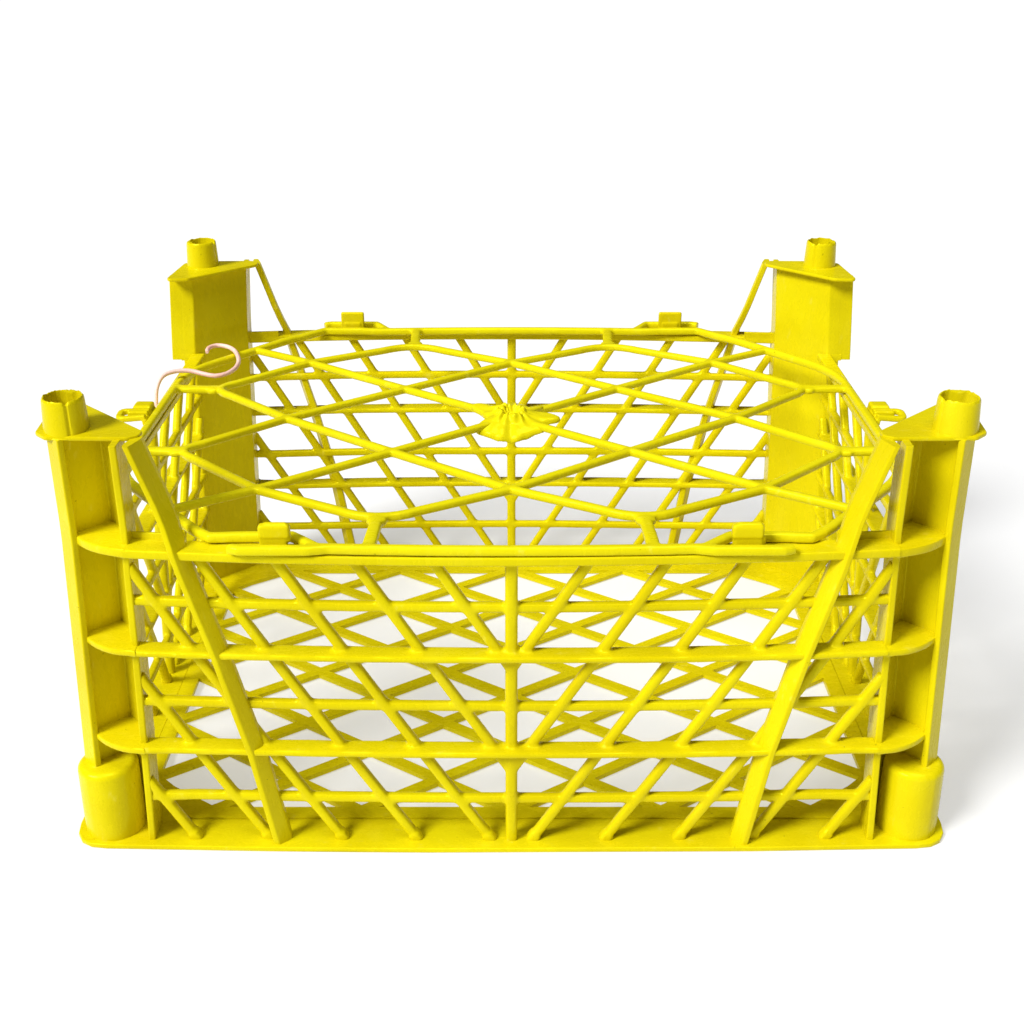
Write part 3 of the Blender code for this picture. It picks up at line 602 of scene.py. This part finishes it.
def slant_bars(bm, slant_y, half, rule, out):
    """Slanted bars in both halves of a wall, with a thicker toe where they meet the base flange."""
    reach = half + SINK
    run = SLANT * RIM_BOTTOM
    for k in range(1, math.ceil((half + run - SLANT * SHORTEST_BAR) / SLANT_PITCH)):
        top_x = SLANT_PITCH * k
        high = min(WALL_HEAD, RIM_BOTTOM - (top_x - reach) / SLANT)
        low = max(WALL_FOOT, RIM_BOTTOM - top_x / SLANT)
        for side in (-1, 1):
            ends = [(side * (top_x - SLANT * (RIM_BOTTOM - z)), slant_y, z) for z in (high, low)]
            tube(bm, [rule(point) for point in between(*ends, STATION)], SLANT_R, out)
            if low == WALL_FOOT:
                foot_x = ends[1][0]
                toe = [Vector((foot_x + side * SLANT * lift, slant_y, low + lift)) for lift in TOE_LIFTS]
                tube(bm, [rule(point) for point in toe], SLANT_R * TOE_SWELL, out)


def shelf_ribs(bm, outer, shelf, reach, rule):
    inner = outer - LATTICE_THICK - RIB_BITE
    for z in RIB_LEVELS:
        section = boxed(inner, shelf, z, z + RIB_THICK, RIB_EDGE)
        swept(bm, section, stations(-reach, reach), rule)


def make_wall(name, outer, shelf, half, rule, voxel):
    """Lattice of a wall with its two shelf ribs."""
    bm = bmesh.new()
    out = rule(Vector((0, 1, 0.1))) - rule(Vector((0, 0.9, 0.1)))
    reach = half + SINK
    level_y = outer - LEVEL_R - LEVEL_SETBACK
    for z in BAR_LEVELS:
        line = between((-reach, level_y, z), (reach, level_y, z), STATION)
        tube(bm, [rule(point) for point in line], LEVEL_R, out)
    mid_y = outer - MID_BAR / 2 + MID_SWELL
    line = between((0, mid_y, WALL_FOOT), (0, mid_y, WALL_HEAD), STATION)
    tube(bm, [rule(point) for point in line], MID_BAR / 2 + MID_SWELL, out)
    slant_bars(bm, outer - SLANT_R, half, rule, out)
    shelf_ribs(bm, outer, shelf, reach, rule)
    return melted(made(name, bm), voxel, passes=2)


def make_walls():
    for name, side in (("front", -1), ("back", 1)):
        wall = make_wall(f"lattice_{name}", WALL_Y, SHELF_Y, POST_X, long_wall(side), LONG_WALL_VOXEL)
        dressed(wall, crate_plastic, "crate", "crate_plastic", f"wall_{name}")
    for name, side in (("left", -1), ("right", 1)):
        wall = make_wall(f"lattice_{name}", WALL_X, SHELF_X, POST_Y, short_wall(side), SIDE_WALL_VOXEL)
        dressed(wall, crate_plastic, "crate", "crate_plastic", f"wall_{name}")


def rim_shelf(name, inner, outer, half, rule):
    bm = bmesh.new()
    reach = half + SINK
    swept(bm, boxed(inner, outer, RIM_BOTTOM, RIM_TOP, RIM_EDGE), stations(-reach, reach), rule)
    return made(f"shelf_rim_{name}", bm)


def rim_lip(end, inner, rule):
    """The low lip at one end of a long rim, between the strap and the post."""
    bm = bmesh.new()
    section = boxed(inner, inner + LIP_THICK, RIM_TOP - SINK, RIM_TOP + LIP_HIGH, LIP_EDGE)
    swept(bm, section, stations(end * LIP_START, end * (POST_X + SINK), STATION / 2), rule)
    return made("lip", bm)


def make_rims():
    """Rim shelves, with the low lips that stand on the long ones."""
    for name, side in (("front", -1), ("back", 1)):
        rule = long_wall(side)
        inner = SHELF_Y - RIM_DEPTH
        rim = rim_shelf(name, inner, SHELF_Y, POST_X, rule)
        united(rim, [rim_lip(end, inner, rule) for end in (-1, 1)])
        dressed(rim, crate_plastic, "crate", "crate_plastic", f"rim_{name}")
    for name, side in (("left", -1), ("right", 1)):
        rim = rim_shelf(name, WALL_X - SIDE_RIM_DEPTH, WALL_X, POST_Y, short_wall(side))
        dressed(rim, crate_plastic, "crate", "crate_plastic", f"rim_{name}")


# ---------------------------------------------------------------- corner posts

def post_outline():
    """Two flanges, the diagonal panel between them, and the web out to the corner bar."""
    root = math.sqrt(2)
    panel_inner = PANEL_SUM - WEB * root
    corner_inner = CORNER_SUM - CORNER_DEPTH * root
    web = WEB / 2 * root
    bar = CORNER_HALF * root
    flange_x = POST_X + POST_FLANGE
    flange_y = POST_Y + POST_FLANGE
    return [
        (POST_X, FLANGE_TIP_Y),
        (flange_x, FLANGE_TIP_Y),
        (flange_x, PANEL_SUM - flange_x),
        diagonal(PANEL_SUM, WEB_OFFSET - web),
        diagonal(corner_inner, WEB_OFFSET - web),
        diagonal(corner_inner, WEB_OFFSET - bar),
        diagonal(CORNER_SUM, WEB_OFFSET - bar),
        diagonal(CORNER_SUM, WEB_OFFSET + bar),
        diagonal(corner_inner, WEB_OFFSET + bar),
        diagonal(corner_inner, WEB_OFFSET + web),
        diagonal(PANEL_SUM, WEB_OFFSET + web),
        (PANEL_SUM - flange_y, flange_y),
        (SHELF_X, flange_y),
        (SHELF_X, POST_Y),
        (panel_inner - POST_Y, POST_Y),
        (POST_X, panel_inner - POST_X),
    ]


def shelf_outline():
    """A web shelf across a post, with bowed edges from the walls' shelves to the corner bar."""
    setback = 0.003
    front_bow = (0.170, 0.1488)
    side_bow = (0.1905, 0.121)
    bar = CORNER_HALF * math.sqrt(2)
    front = diagonal(CORNER_SUM - setback, WEB_OFFSET - bar)
    side = diagonal(CORNER_SUM - setback, WEB_OFFSET + bar)
    inner = PANEL_SUM - WEB * math.sqrt(2)
    tip = (SHELF_X + 0.0015, POST_Y)
    edge = curved((POST_X, SHELF_Y), front_bow, front, 8) + [Vector(front)]
    edge += curved(side, side_bow, tip, 8)
    return edge + [Vector(tip), Vector((inner - POST_Y, POST_Y)), Vector((POST_X, inner - POST_X))]


def post_shelf(low, high):
    bm = bmesh.new()
    slab(bm, shelf_outline(), low, high, 0.0008, settle)
    return made("shelf", bm)


def post_wing():
    """The flat that widens a post's side flange above the rim."""
    inner_x = SHELF_X - WEB
    low_y = POST_Y + 0.0001
    high_y = POST_Y + POST_FLANGE - 0.0002
    outline = rounded([(inner_x, low_y), (WING_X, low_y), (WING_X, high_y), (inner_x, high_y)], 0.0007)
    bm = bmesh.new()
    slab(bm, outline, RIM_BOTTOM + 0.0006, POST_TOP + SINK, POST_EDGE, settle)
    return made("wing", bm)


def make_posts():
    """Ribbed corner posts, each with three shelves and a wing."""
    bm = bmesh.new()
    slab(bm, rounded(post_outline(), 0.0008), WALL_FOOT, POST_TOP + SINK, POST_EDGE, settle)
    post = made("post", bm)
    levels = [(z, z + RIB_THICK) for z in RIB_LEVELS] + [(RIM_BOTTOM, RIM_TOP)]
    members = [post_shelf(low, high) for low, high in levels] + [post_wing()]
    in_each_corner(united(post, members), "corner_post", "post")


def strap_outline(x0, x1, y0, y1):
    """A flat bar set slantwise, from a thin outer edge in front to an inner edge behind."""
    corners = [
        (x0, y0), (x0 + STRAP_BACK, y0), (x1, y1 - STRAP_BACK),
        (x1, y1), (x1 - STRAP_FRONT, y1), (x0, y0 + STRAP_BACK),
    ]
    return rounded(corners, STRAP_EDGE)


def make_braces():
    """Slanted straps from the base flange, across the ribs and rim, to the post's top plate."""
    rings = []
    for low, high in zip(STRAP_SECTIONS, STRAP_SECTIONS[1:]):
        for step in range(STRAP_STEPS):
            share = step / STRAP_STEPS
            z, *section = (a + (b - a) * share for a, b in zip(low, high))
            rings.append((z, strap_outline(*section)))
    z, *section = STRAP_SECTIONS[-1]
    rings.append((z, strap_outline(*section)))
    bm = bmesh.new()
    skin(bm, [[settle(Vector((point.x, point.y, z))) for point in ring] for z, ring in rings])
    in_each_corner(made("brace", bm), "strap", "brace")


def make_top_plates():
    """Flat plates that cover the posts and reach over their flanges and the straps' tops."""
    bm = bmesh.new()
    slab(bm, rounded(PLATE_OUTLINE, PLATE_CORNER), PLATE_TOP - PLATE_THICK, PLATE_TOP, PLATE_EDGE)
    in_each_corner(made("plate", bm), "cap_plate", "top_plate")


def peg_profile(turn, seed):
    """Radius and height of a peg in one direction, from its foot over the mouth to the hollow's floor."""
    low = PLATE_TOP - SINK
    high = PEG_TOP - 0.0012
    foot_flare = 0.0006
    away = Vector((math.cos(turn), math.sin(turn), seed))
    ragged = noise.noise(3.2 * away) + 0.6 * noise.noise(9 * away)
    tear = turn - (2.0 + 0.7 * seed)
    notch = near(tear, 0, 0.12)
    flap = near(tear, 2.4, 0.45)
    seam = 0.0007 * near(tear, 0, 0.05)
    mouth = PEG_BORE_R + 0.0012 + 0.0005 * ragged - 0.0022 * flap - 0.0010 * notch
    top = min(PEG_TOP, PEG_TOP - 0.0005 + 0.0005 * ragged - 0.0016 * notch)
    outside = [(PEG_BASE_R + foot_flare, low)]
    for share in (0.06, 0.35, 0.7, 0.93):
        outside.append((PEG_BASE_R + (PEG_TIP_R - PEG_BASE_R) * share, low + (high - low) * share))
    outside += [(PEG_TIP_R - 0.0001, top - 0.0006), (PEG_TIP_R - 0.0006, top)]
    floor = (PEG_BORE_R + 0.0006, PLATE_TOP + 0.0016)
    inside = [(mouth + 0.0002, top - 0.0001), (mouth, top - 0.0010), floor]
    return [(radius - seam, z) for radius, z in outside] + inside


def make_peg(seed):
    """A hollow stacking peg with a seam, whose thin mouth is torn where the gate was cut off."""
    columns = []
    for k in range(PEG_SIDES):
        turn = math.tau * k / PEG_SIDES
        columns.append([around(PEG_XY, turn, radius, z) for radius, z in peg_profile(turn, seed)])
    bm = bmesh.new()
    skin(bm, list(zip(*columns)))
    return made("peg", bm)


def make_pegs():
    """A peg for each corner, every one torn in its own way."""
    for number, (end, side, side_x, side_y) in enumerate(CORNERS):
        peg = make_peg(number)
        corner = mirrored(peg, f"stack_peg_{end}_{side}", side_x, side_y)
        bpy.data.objects.remove(peg, do_unlink=True)
        dressed(corner, crate_plastic, "crate", "crate_plastic", f"peg_{end}_{side}")


def make_feet():
    """Foot drums with a flat top, a rounded shoulder and the mould's parting line."""
    sides = 72
    seam = math.radians(62)
    shoulder = 0.0032
    taper = 0.0002
    ridge = 0.0005
    margin = 0.0004
    profile = [(DRUM_R, WALL_FOOT), (DRUM_R, 0.4 * DRUM_TOP), (DRUM_R - taper, DRUM_TOP - shoulder)]
    for i in range(1, 6):
        a = math.pi / 2 * i / 5
        radius = DRUM_R - taper - shoulder * (1 - math.cos(a))
        profile.append((radius, DRUM_TOP - shoulder * (1 - math.sin(a))))
    profile.append((DRUM_R * 0.4, DRUM_TOP - 0.0002))
    turns = [math.tau * k / sides for k in range(sides)]
    rings = []
    for radius, z in profile:
        rings.append([around(DRUM_XY, a, radius + ridge * near(a, seam, 0.035) - margin, z) for a in turns])
    bm = bmesh.new()
    skin(bm, rings)
    in_each_corner(made("foot", bm), "foot_drum", "foot")


def make_base():
    """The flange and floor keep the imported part's shape, with their edges rounded."""
    for node, name in (("base_flange", "base_plate"), ("floor_lattice", "floor_grid")):
        bm = bmesh.new()
        bm.from_mesh(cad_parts[node].data)
        bmesh.ops.remove_doubles(bm, verts=bm.verts, dist=1e-6)
        bmesh.ops.dissolve_limit(bm, angle_limit=math.radians(1), verts=bm.verts, edges=bm.edges)
        piece = made(name, bm)
        bevel = piece.modifiers.new("edges", "BEVEL")
        bevel.width = 0.0007
        bevel.segments = 3
        bevel.limit_method = "ANGLE"
        bevel.angle_limit = math.radians(50)
        dressed(applied(piece), crate_plastic, "crate", "crate_plastic", node)


# ---------------------------------------------------------------- lid

def lid_edge_y(x):
    return LID_Y + belly(x, RIM_TOP)


def lid_quarter():
    """The lid's edge line in the back right quarter, with a smooth corner."""
    corner_x = LID_X - LID_CORNER[0]
    corner_y = lid_edge_y(corner_x)
    low = (LID_X, corner_y - LID_CORNER[1])
    slope = (Vector(low) - Vector((corner_x, corner_y))).normalized()
    start = (corner_x - LID_TURN, lid_edge_y(corner_x - LID_TURN))
    after = Vector((corner_x, corner_y)) + LID_TURN * slope
    before_low = Vector(low) - LID_TURN * slope
    end = (LID_X, low[1] - LID_TURN)
    xs = [corner_x * i / 12 for i in range(11)]
    points = [Vector((x, lid_edge_y(x))) for x in xs if x < start[0] - 0.002]
    points += curved(start, (corner_x, corner_y), after, 6)
    points += curved(after, (after + before_low) / 2, before_low, 3)
    points += curved(before_low, low, end, 6)
    points += [Vector((LID_X, end[1] * (1 - i / 4))) for i in range(5)]
    return points


def catch_outer_y():
    return SHELF_Y + belly(CATCH_X, RIM_TOP) - CATCH_INSET


def edge_runs():
    """The lid's edge line, which jogs to the inner side of each catch, and a strand past its outer side."""
    quarter = lid_quarter()
    long_side = LID_Y - 0.02
    start_x = CATCH_X - EYELET_LONG / 2 + 0.002
    end_x = CATCH_X + EYELET_LONG / 2
    half = CATCH_THICK / 2 + EYELET_CLEAR + 0.0019
    inner = [p for p in quarter if p.x < start_x and p.y > long_side]
    outer = [p for p in quarter if p.x > end_x + 0.006 or p.y < long_side]
    runs = []
    for end, side, side_x, side_y in CORNERS:
        middle = catch_outer_y() - CATCH_THICK / 2 + EYELET_OFF - side_y * LID_SHIFT.y
        near_y, far_y = middle - half, middle + half
        jog = [
            Vector((start_x, lid_edge_y(start_x))),
            Vector((start_x + 0.006, 0.5 * (lid_edge_y(start_x) + near_y))),
            Vector((start_x + 0.012, near_y)),
            Vector((CATCH_X, near_y)),
            Vector((end_x - 0.004, near_y + 0.0004)),
        ]
        strand = [
            Vector((start_x - 0.004, lid_edge_y(start_x - 0.004))),
            Vector((start_x + 0.004, far_y)),
            Vector((CATCH_X, far_y)),
            Vector((end_x - 0.006, far_y)),
            Vector((end_x - 0.0022, far_y - 0.0016)),
        ]
        for line in (inner + jog + outer, strand):
            runs.append([LID_SHIFT + Vector((side_x * p.x, side_y * p.y, LID_MID)) for p in line])
    return runs


def lid_node(i, j):
    x = math.copysign(LID_EDGE_NODE[0], i) if abs(i) == 3 else i * LID_NODE[0]
    y = math.copysign(LID_EDGE_NODE[1], j) if abs(j) == 3 else j * LID_NODE[1]
    if abs(i) == 3 and abs(j) == 3:
        x, y = math.copysign(LID_CORNER_NODE[0], i), math.copysign(LID_CORNER_NODE[1], j)
    return LID_SHIFT + Vector((x, y, LID_MID))


def lid_lines():
    """Straight bars of the lattice, between the crossings and out to the four corners."""
    lines = []
    for i in range(-2, 3):
        for j in range(-2, 3):
            if (i + j) % 2:
                continue
            for step in (-1, 1):
                if i < 2 and abs(j + step) <= 2:
                    lines.append((lid_node(i, j), lid_node(i + 1, j + step)))
    for end, side, side_x, side_y in CORNERS:
        lines.append((lid_node(2 * side_x, 2 * side_y), lid_node(3 * side_x, 3 * side_y)))
    return lines


def lid_bends():
    """Bars that swing round at the edge junctions, each with the stub that ties it to the edge."""
    bends = []
    for end, side, side_x, side_y in CORNERS:
        after = lid_node(2 * side_x, 2 * side_y)
        edge = lid_node(side_x, 3 * side_y)
        stub_x = edge.x + 0.0012 * side_x
        foot = LID_SHIFT + Vector((stub_x, side_y * lid_edge_y(stub_x), LID_MID))
        bends.append((lid_node(0, 2 * side_y), edge, after, foot, LONG_SWING))
        edge = lid_node(3 * side_x, side_y)
        foot = Vector((side_x * LID_X, edge.y + 0.0015, LID_MID))
        bends.append((lid_node(2 * side_x, 0), edge, after, foot, SIDE_SWING))
    return bends


def bend_bars(bm, before, edge, after, foot, reach):
    """A bar that swings round a junction, the stub out to the lid's edge, and a pad where they meet."""
    up = Vector((0, 0, 1))
    outward = (foot - edge).normalized()
    start = edge + reach * (before - edge).normalized()
    end = edge + reach * (after - edge).normalized()
    swing = curved(start, edge + 0.0035 * outward, end, 8)
    line = between(before, start, STATION)[:-1] + swing + between(end, after, STATION)
    tube(bm, [wavy(point) for point in line], LATTICE_R, up, LATTICE_FLAT)
    root = edge - 0.001 * outward
    tube(bm, [wavy(point) for point in between(root, foot, STATION / 4)], STUB_R, up, STUB_FLAT)
    tube(bm, [wavy(point) for point in (root, edge + 0.0025 * outward)], PAD_R, up, PAD_FLAT)


def make_lid():
    """Edge line, the strands past the catches and the lattice, as the one moulding that they are."""
    bm = bmesh.new()
    up = Vector((0, 0, 1))
    for run in edge_runs():
        tube(bm, run, EDGE_R, up, EDGE_FLAT)
    for start, end in lid_lines():
        tube(bm, [wavy(point) for point in between(start, end, STATION)], LATTICE_R, up, LATTICE_FLAT)
    for bend in lid_bends():
        bend_bars(bm, *bend)
    lid = melted(made("lid_moulding", bm), LID_VOXEL, passes=3)
    dressed(lid, lid_plastic, "lid", "lid_plastic", "lid_frame", "lid_lattice")


def gate_point(turn, share, high):
    """A point on the upper side of the gate's flower."""
    away = Vector((math.cos(turn), math.sin(turn), 0.5 * share))
    rise = high + 0.0012 * share * noise.noise(3.5 * away)
    if share > GATE_COLLAR:
        size = 0.66 + 0.14 * noise.noise(2.6 * away)
        for middle, width, reach in GATE_PETALS:
            size += reach * near(turn, middle, width)
        rise -= 0.0062 * share ** 2 * max(0.0, -math.sin(turn)) ** 2
    else:
        size = 0.80 + 0.22 * noise.noise(3 * away)
        rise += 0.0022 * noise.noise(5 * away)
    radius = GATE_R * share * size
    return Vector((radius * math.cos(turn), 0.95 * radius * math.sin(turn), GATE_BASE + rise)) + LID_SHIFT


def drawn_in(ring, share, drop):
    """A ring of the flower again, smaller and lower."""
    result = []
    for point in ring:
        away = point - LID_SHIFT
        result.append(LID_SHIFT + Vector((share * away.x, share * away.y, away.z - drop)))
    return result


def make_gate_boss():
    """The ragged flower of plastic where the lid was injected: petals of flash and a torn collar."""
    turns = [math.tau * k / GATE_SIDES for k in range(GATE_SIDES)]
    rings = [[gate_point(turn, share, high) for turn in turns] for share, high in GATE_PROFILE]
    under = drawn_in(rings[0], 0.98, 0.0012)
    centre = [Vector((point.x, point.y, GATE_BASE)) for point in drawn_in(under, 0.3, 0)]
    bm = bmesh.new()
    skin(bm, [centre, under] + rings)
    boss = melted(made("gate_flower", bm), GATE_VOXEL, passes=1)
    dressed(boss, lid_plastic, "lid", "lid_plastic", "lid_gate_boss")


# ---------------------------------------------------------------- catches

def tab_blocks(end, side, outer):
    """Lower corner, upper corner and edge radius of each block of an upright tab."""
    inner = outer - CATCH_THICK
    near_x, far_x = CATCH_X - CATCH_WIDE / 2, CATCH_X + CATCH_WIDE / 2
    top = CATCH_TOP
    if end == "back":
        plate = (near_x, inner + 0.0008, CATCH_LOW), (far_x, outer - 0.0006, top), 0.0010
        foot = (near_x + 0.002, inner + 0.0002, CATCH_LOW), (far_x - 0.002, outer, top - 0.006), 0.0008
        return [plate, foot]
    stem_low = (near_x + 0.0012, inner + 0.0010, CATCH_LOW)
    stem = stem_low, (far_x - 0.0012, outer - 0.0004, top - 0.003), 0.0010
    head = (near_x, inner, top - 0.0072), (far_x - 0.001, outer, top - 0.0006), 0.0013
    if side == "left":
        cap = (near_x + 0.001, inner + 0.0006, top - 0.003), (far_x - 0.003, outer - 0.001, top), 0.0010
        chin_low = (near_x - 0.0004, inner + 0.0010, top - 0.0086)
        chin = chin_low, (near_x + 0.003, outer - 0.0006, top - 0.0055), 0.0008
        return [stem, head, cap, chin]
    chin = (near_x + 0.0005, inner + 0.0004, top - 0.0105), (far_x, outer - 0.0009, top - 0.006), 0.0010
    cap = (near_x + 0.002, inner + 0.0002, top - 0.003), (far_x - 0.0015, outer - 0.0006, top), 0.0010
    return [stem, head, chin, cap]


def make_long_catches():
    """Upright tabs on the long rims; the front ones have thick moulded heads."""
    for end, side, side_x, side_y in CORNERS:
        outer = catch_outer_y() + (FRONT_CATCH_SHIFT if end == "front" else 0.0)
        bm = bmesh.new()
        for low, high, edge in tab_blocks(end, side, outer):
            lump(bm, low, high, edge)
        catch = melted(made("catch", bm), CATCH_VOXEL, passes=2)
        tab = mirrored(catch, f"catch_tab_{end}_{side}", side_x, side_y)
        bpy.data.objects.remove(catch, do_unlink=True)
        dressed(tab, crate_plastic, f"catch_{end}_{side}_body", "crate_plastic", f"catch_{end}_{side}")


def hook_loop(root, reach, half):
    """The loop of bar of a side catch: out along one side, round the end and back along the other."""
    corner = 0.0030
    high = RIM_TOP + 0.0040
    low = high - 0.0010
    back = half - 0.0100
    front = -half + 0.0020
    back_turn = (reach - corner, back, high)
    front_turn = (reach - corner, front, low)
    loop = between((root, back, high), back_turn, corner)[:-1]
    loop += curved(back_turn, (reach, back, high), (reach, back - corner, high - 0.0004), 4)
    loop += curved((reach, front + corner, high - 0.0008), (reach, front, low), front_turn, 4)
    loop += between(front_turn, (root, front, high), corner)
    return loop


def make_side_catches():
    """Hooks on the short rims: a base, two fingers and a loop that reaches outwards."""
    half = SIDE_CATCH_WIDE / 2
    root = LID_X + LID_BAR / 2 + 0.0006
    finger = root + 0.0004
    reach = SIDE_CATCH_REACH - 0.0018
    for side, side_x in (("left", -1), ("right", 1)):
        bm = bmesh.new()
        lump(bm, (root, -half, CATCH_LOW), (root + 0.0026, half, RIM_TOP + 0.0036), 0.0009)
        back_low = (finger, half - 0.0085, RIM_TOP + 0.0024)
        lump(bm, back_low, (reach - 0.0050, half, RIM_TOP + 0.0064), 0.0012)
        tube(bm, hook_loop(root + 0.0008, reach, half), 0.0017, Vector((0, 0, 1)), 0.9)
        front_low = (finger, -half + 0.0050, RIM_TOP + 0.0022)
        lump(bm, front_low, (reach - 0.0040, -0.0020, RIM_TOP + 0.0058), 0.0010)
        catch = melted(made("catch", bm), CATCH_VOXEL, passes=2)
        hook = mirrored(catch, f"catch_hook_{side}", side_x, 1)
        bpy.data.objects.remove(catch, do_unlink=True)
        dressed(hook, crate_plastic, f"catch_{side}_body", "crate_plastic", f"catch_{side}")


# ---------------------------------------------------------------- tie cord

def smooth_route(points, step):
    """Points close together on a smooth curve through the route's points."""
    route = [Vector(point) for point in points]
    ends = [2 * route[0] - route[1], *route, 2 * route[-1] - route[-2]]
    fine = []
    for i in range(1, len(ends) - 2):
        before, start, end, after = ends[i - 1:i + 3]
        pieces = max(1, round((end - start).length / step))
        for k in range(pieces):
            t = k / pieces
            bend = (2 * before - 5 * start + 4 * end - after) * t ** 2
            twist = (3 * start - before - 3 * end + after) * t ** 3
            fine.append((2 * start + (end - before) * t + bend + twist) / 2)
    return fine + [route[-1]]


def make_cord():
    """A short length of elastic cord, tucked over the left rim and lying on the lid."""
    path = smooth_route(CORD_ROUTE, CORD_STEP)
    rings = []
    side = Vector((1, 0, 0))
    for i, point in enumerate(path):
        run = (path[min(i + 1, len(path) - 1)] - path[max(i - 1, 0)]).normalized()
        side = (side - side.dot(run) * run).normalized()
        top = side.cross(run)
        swell = 1 + 0.05 * noise.noise(Vector((i * 0.7, 0, 0)))
        end = min(i, len(path) - 1 - i)
        radius = CORD_R * swell * (CORD_END if end == 0 else 1.0)
        ring = []
        for k in range(CORD_SIDES):
            a = math.tau * k / CORD_SIDES
            ring.append(point + radius * (math.cos(a) * side + math.sin(a) * top))
        rings.append(ring)
    bm = bmesh.new()
    skin(bm, rings)
    cord = dressed(made("tie_cord_pink", bm), cord_rubber, "lid", "cord", "tie_cord")


# ---------------------------------------------------------------- studio

def make_camera():
    camera = bpy.data.objects.new("camera", bpy.data.cameras.new("camera"))
    camera.data.lens = 47.46
    camera.data.sensor_width = 36
    camera.data.clip_start = 0.01
    camera.location = (0.0004, -0.6445, 0.395)
    camera.rotation_euler = (math.radians(65.4), 0, 0)
    bpy.context.scene.collection.objects.link(camera)
    bpy.context.scene.camera = camera


def make_sun(name, azimuth, elevation, spread_angle, strength):
    """Soft sunlight from an azimuth, counted from the front towards the right, in degrees."""
    sun = bpy.data.lights.new(name, "SUN")
    sun.energy = strength
    sun.angle = math.radians(spread_angle)
    obj = bpy.data.objects.new(name, sun)
    obj.rotation_euler = (math.radians(90 - elevation), 0, math.radians(azimuth))
    bpy.context.scene.collection.objects.link(obj)


def make_studio():
    world = bpy.data.worlds.new("studio")
    world.use_nodes = True
    world.node_tree.nodes["Background"].inputs["Color"].default_value = (1, 1, 1, 1)
    world.node_tree.nodes["Background"].inputs["Strength"].default_value = 0.04
    bpy.context.scene.world = world
    bpy.context.scene.view_settings.view_transform = "Standard"
    make_sun("key", azimuth=-50, elevation=41, spread_angle=20, strength=4.25)
    make_sun("top", azimuth=12, elevation=78, spread_angle=30, strength=1.45)
    bm = bmesh.new()
    bmesh.ops.create_grid(bm, x_segments=8, y_segments=8, size=14)
    mesh = bpy.data.meshes.new("studio_floor")
    bm.to_mesh(mesh)
    bm.free()
    mesh.materials.append(light_table())
    floor = bpy.data.objects.new("studio_floor", mesh)
    floor.location.z = -0.0001
    bpy.context.scene.collection.objects.link(floor)


make_camera()
make_cord()
make_studio()
make_base()
make_walls()
make_rims()
make_posts()
make_braces()
make_top_plates()
make_pegs()
make_feet()
make_lid()
make_gate_boss()
make_long_catches()
make_side_catches()
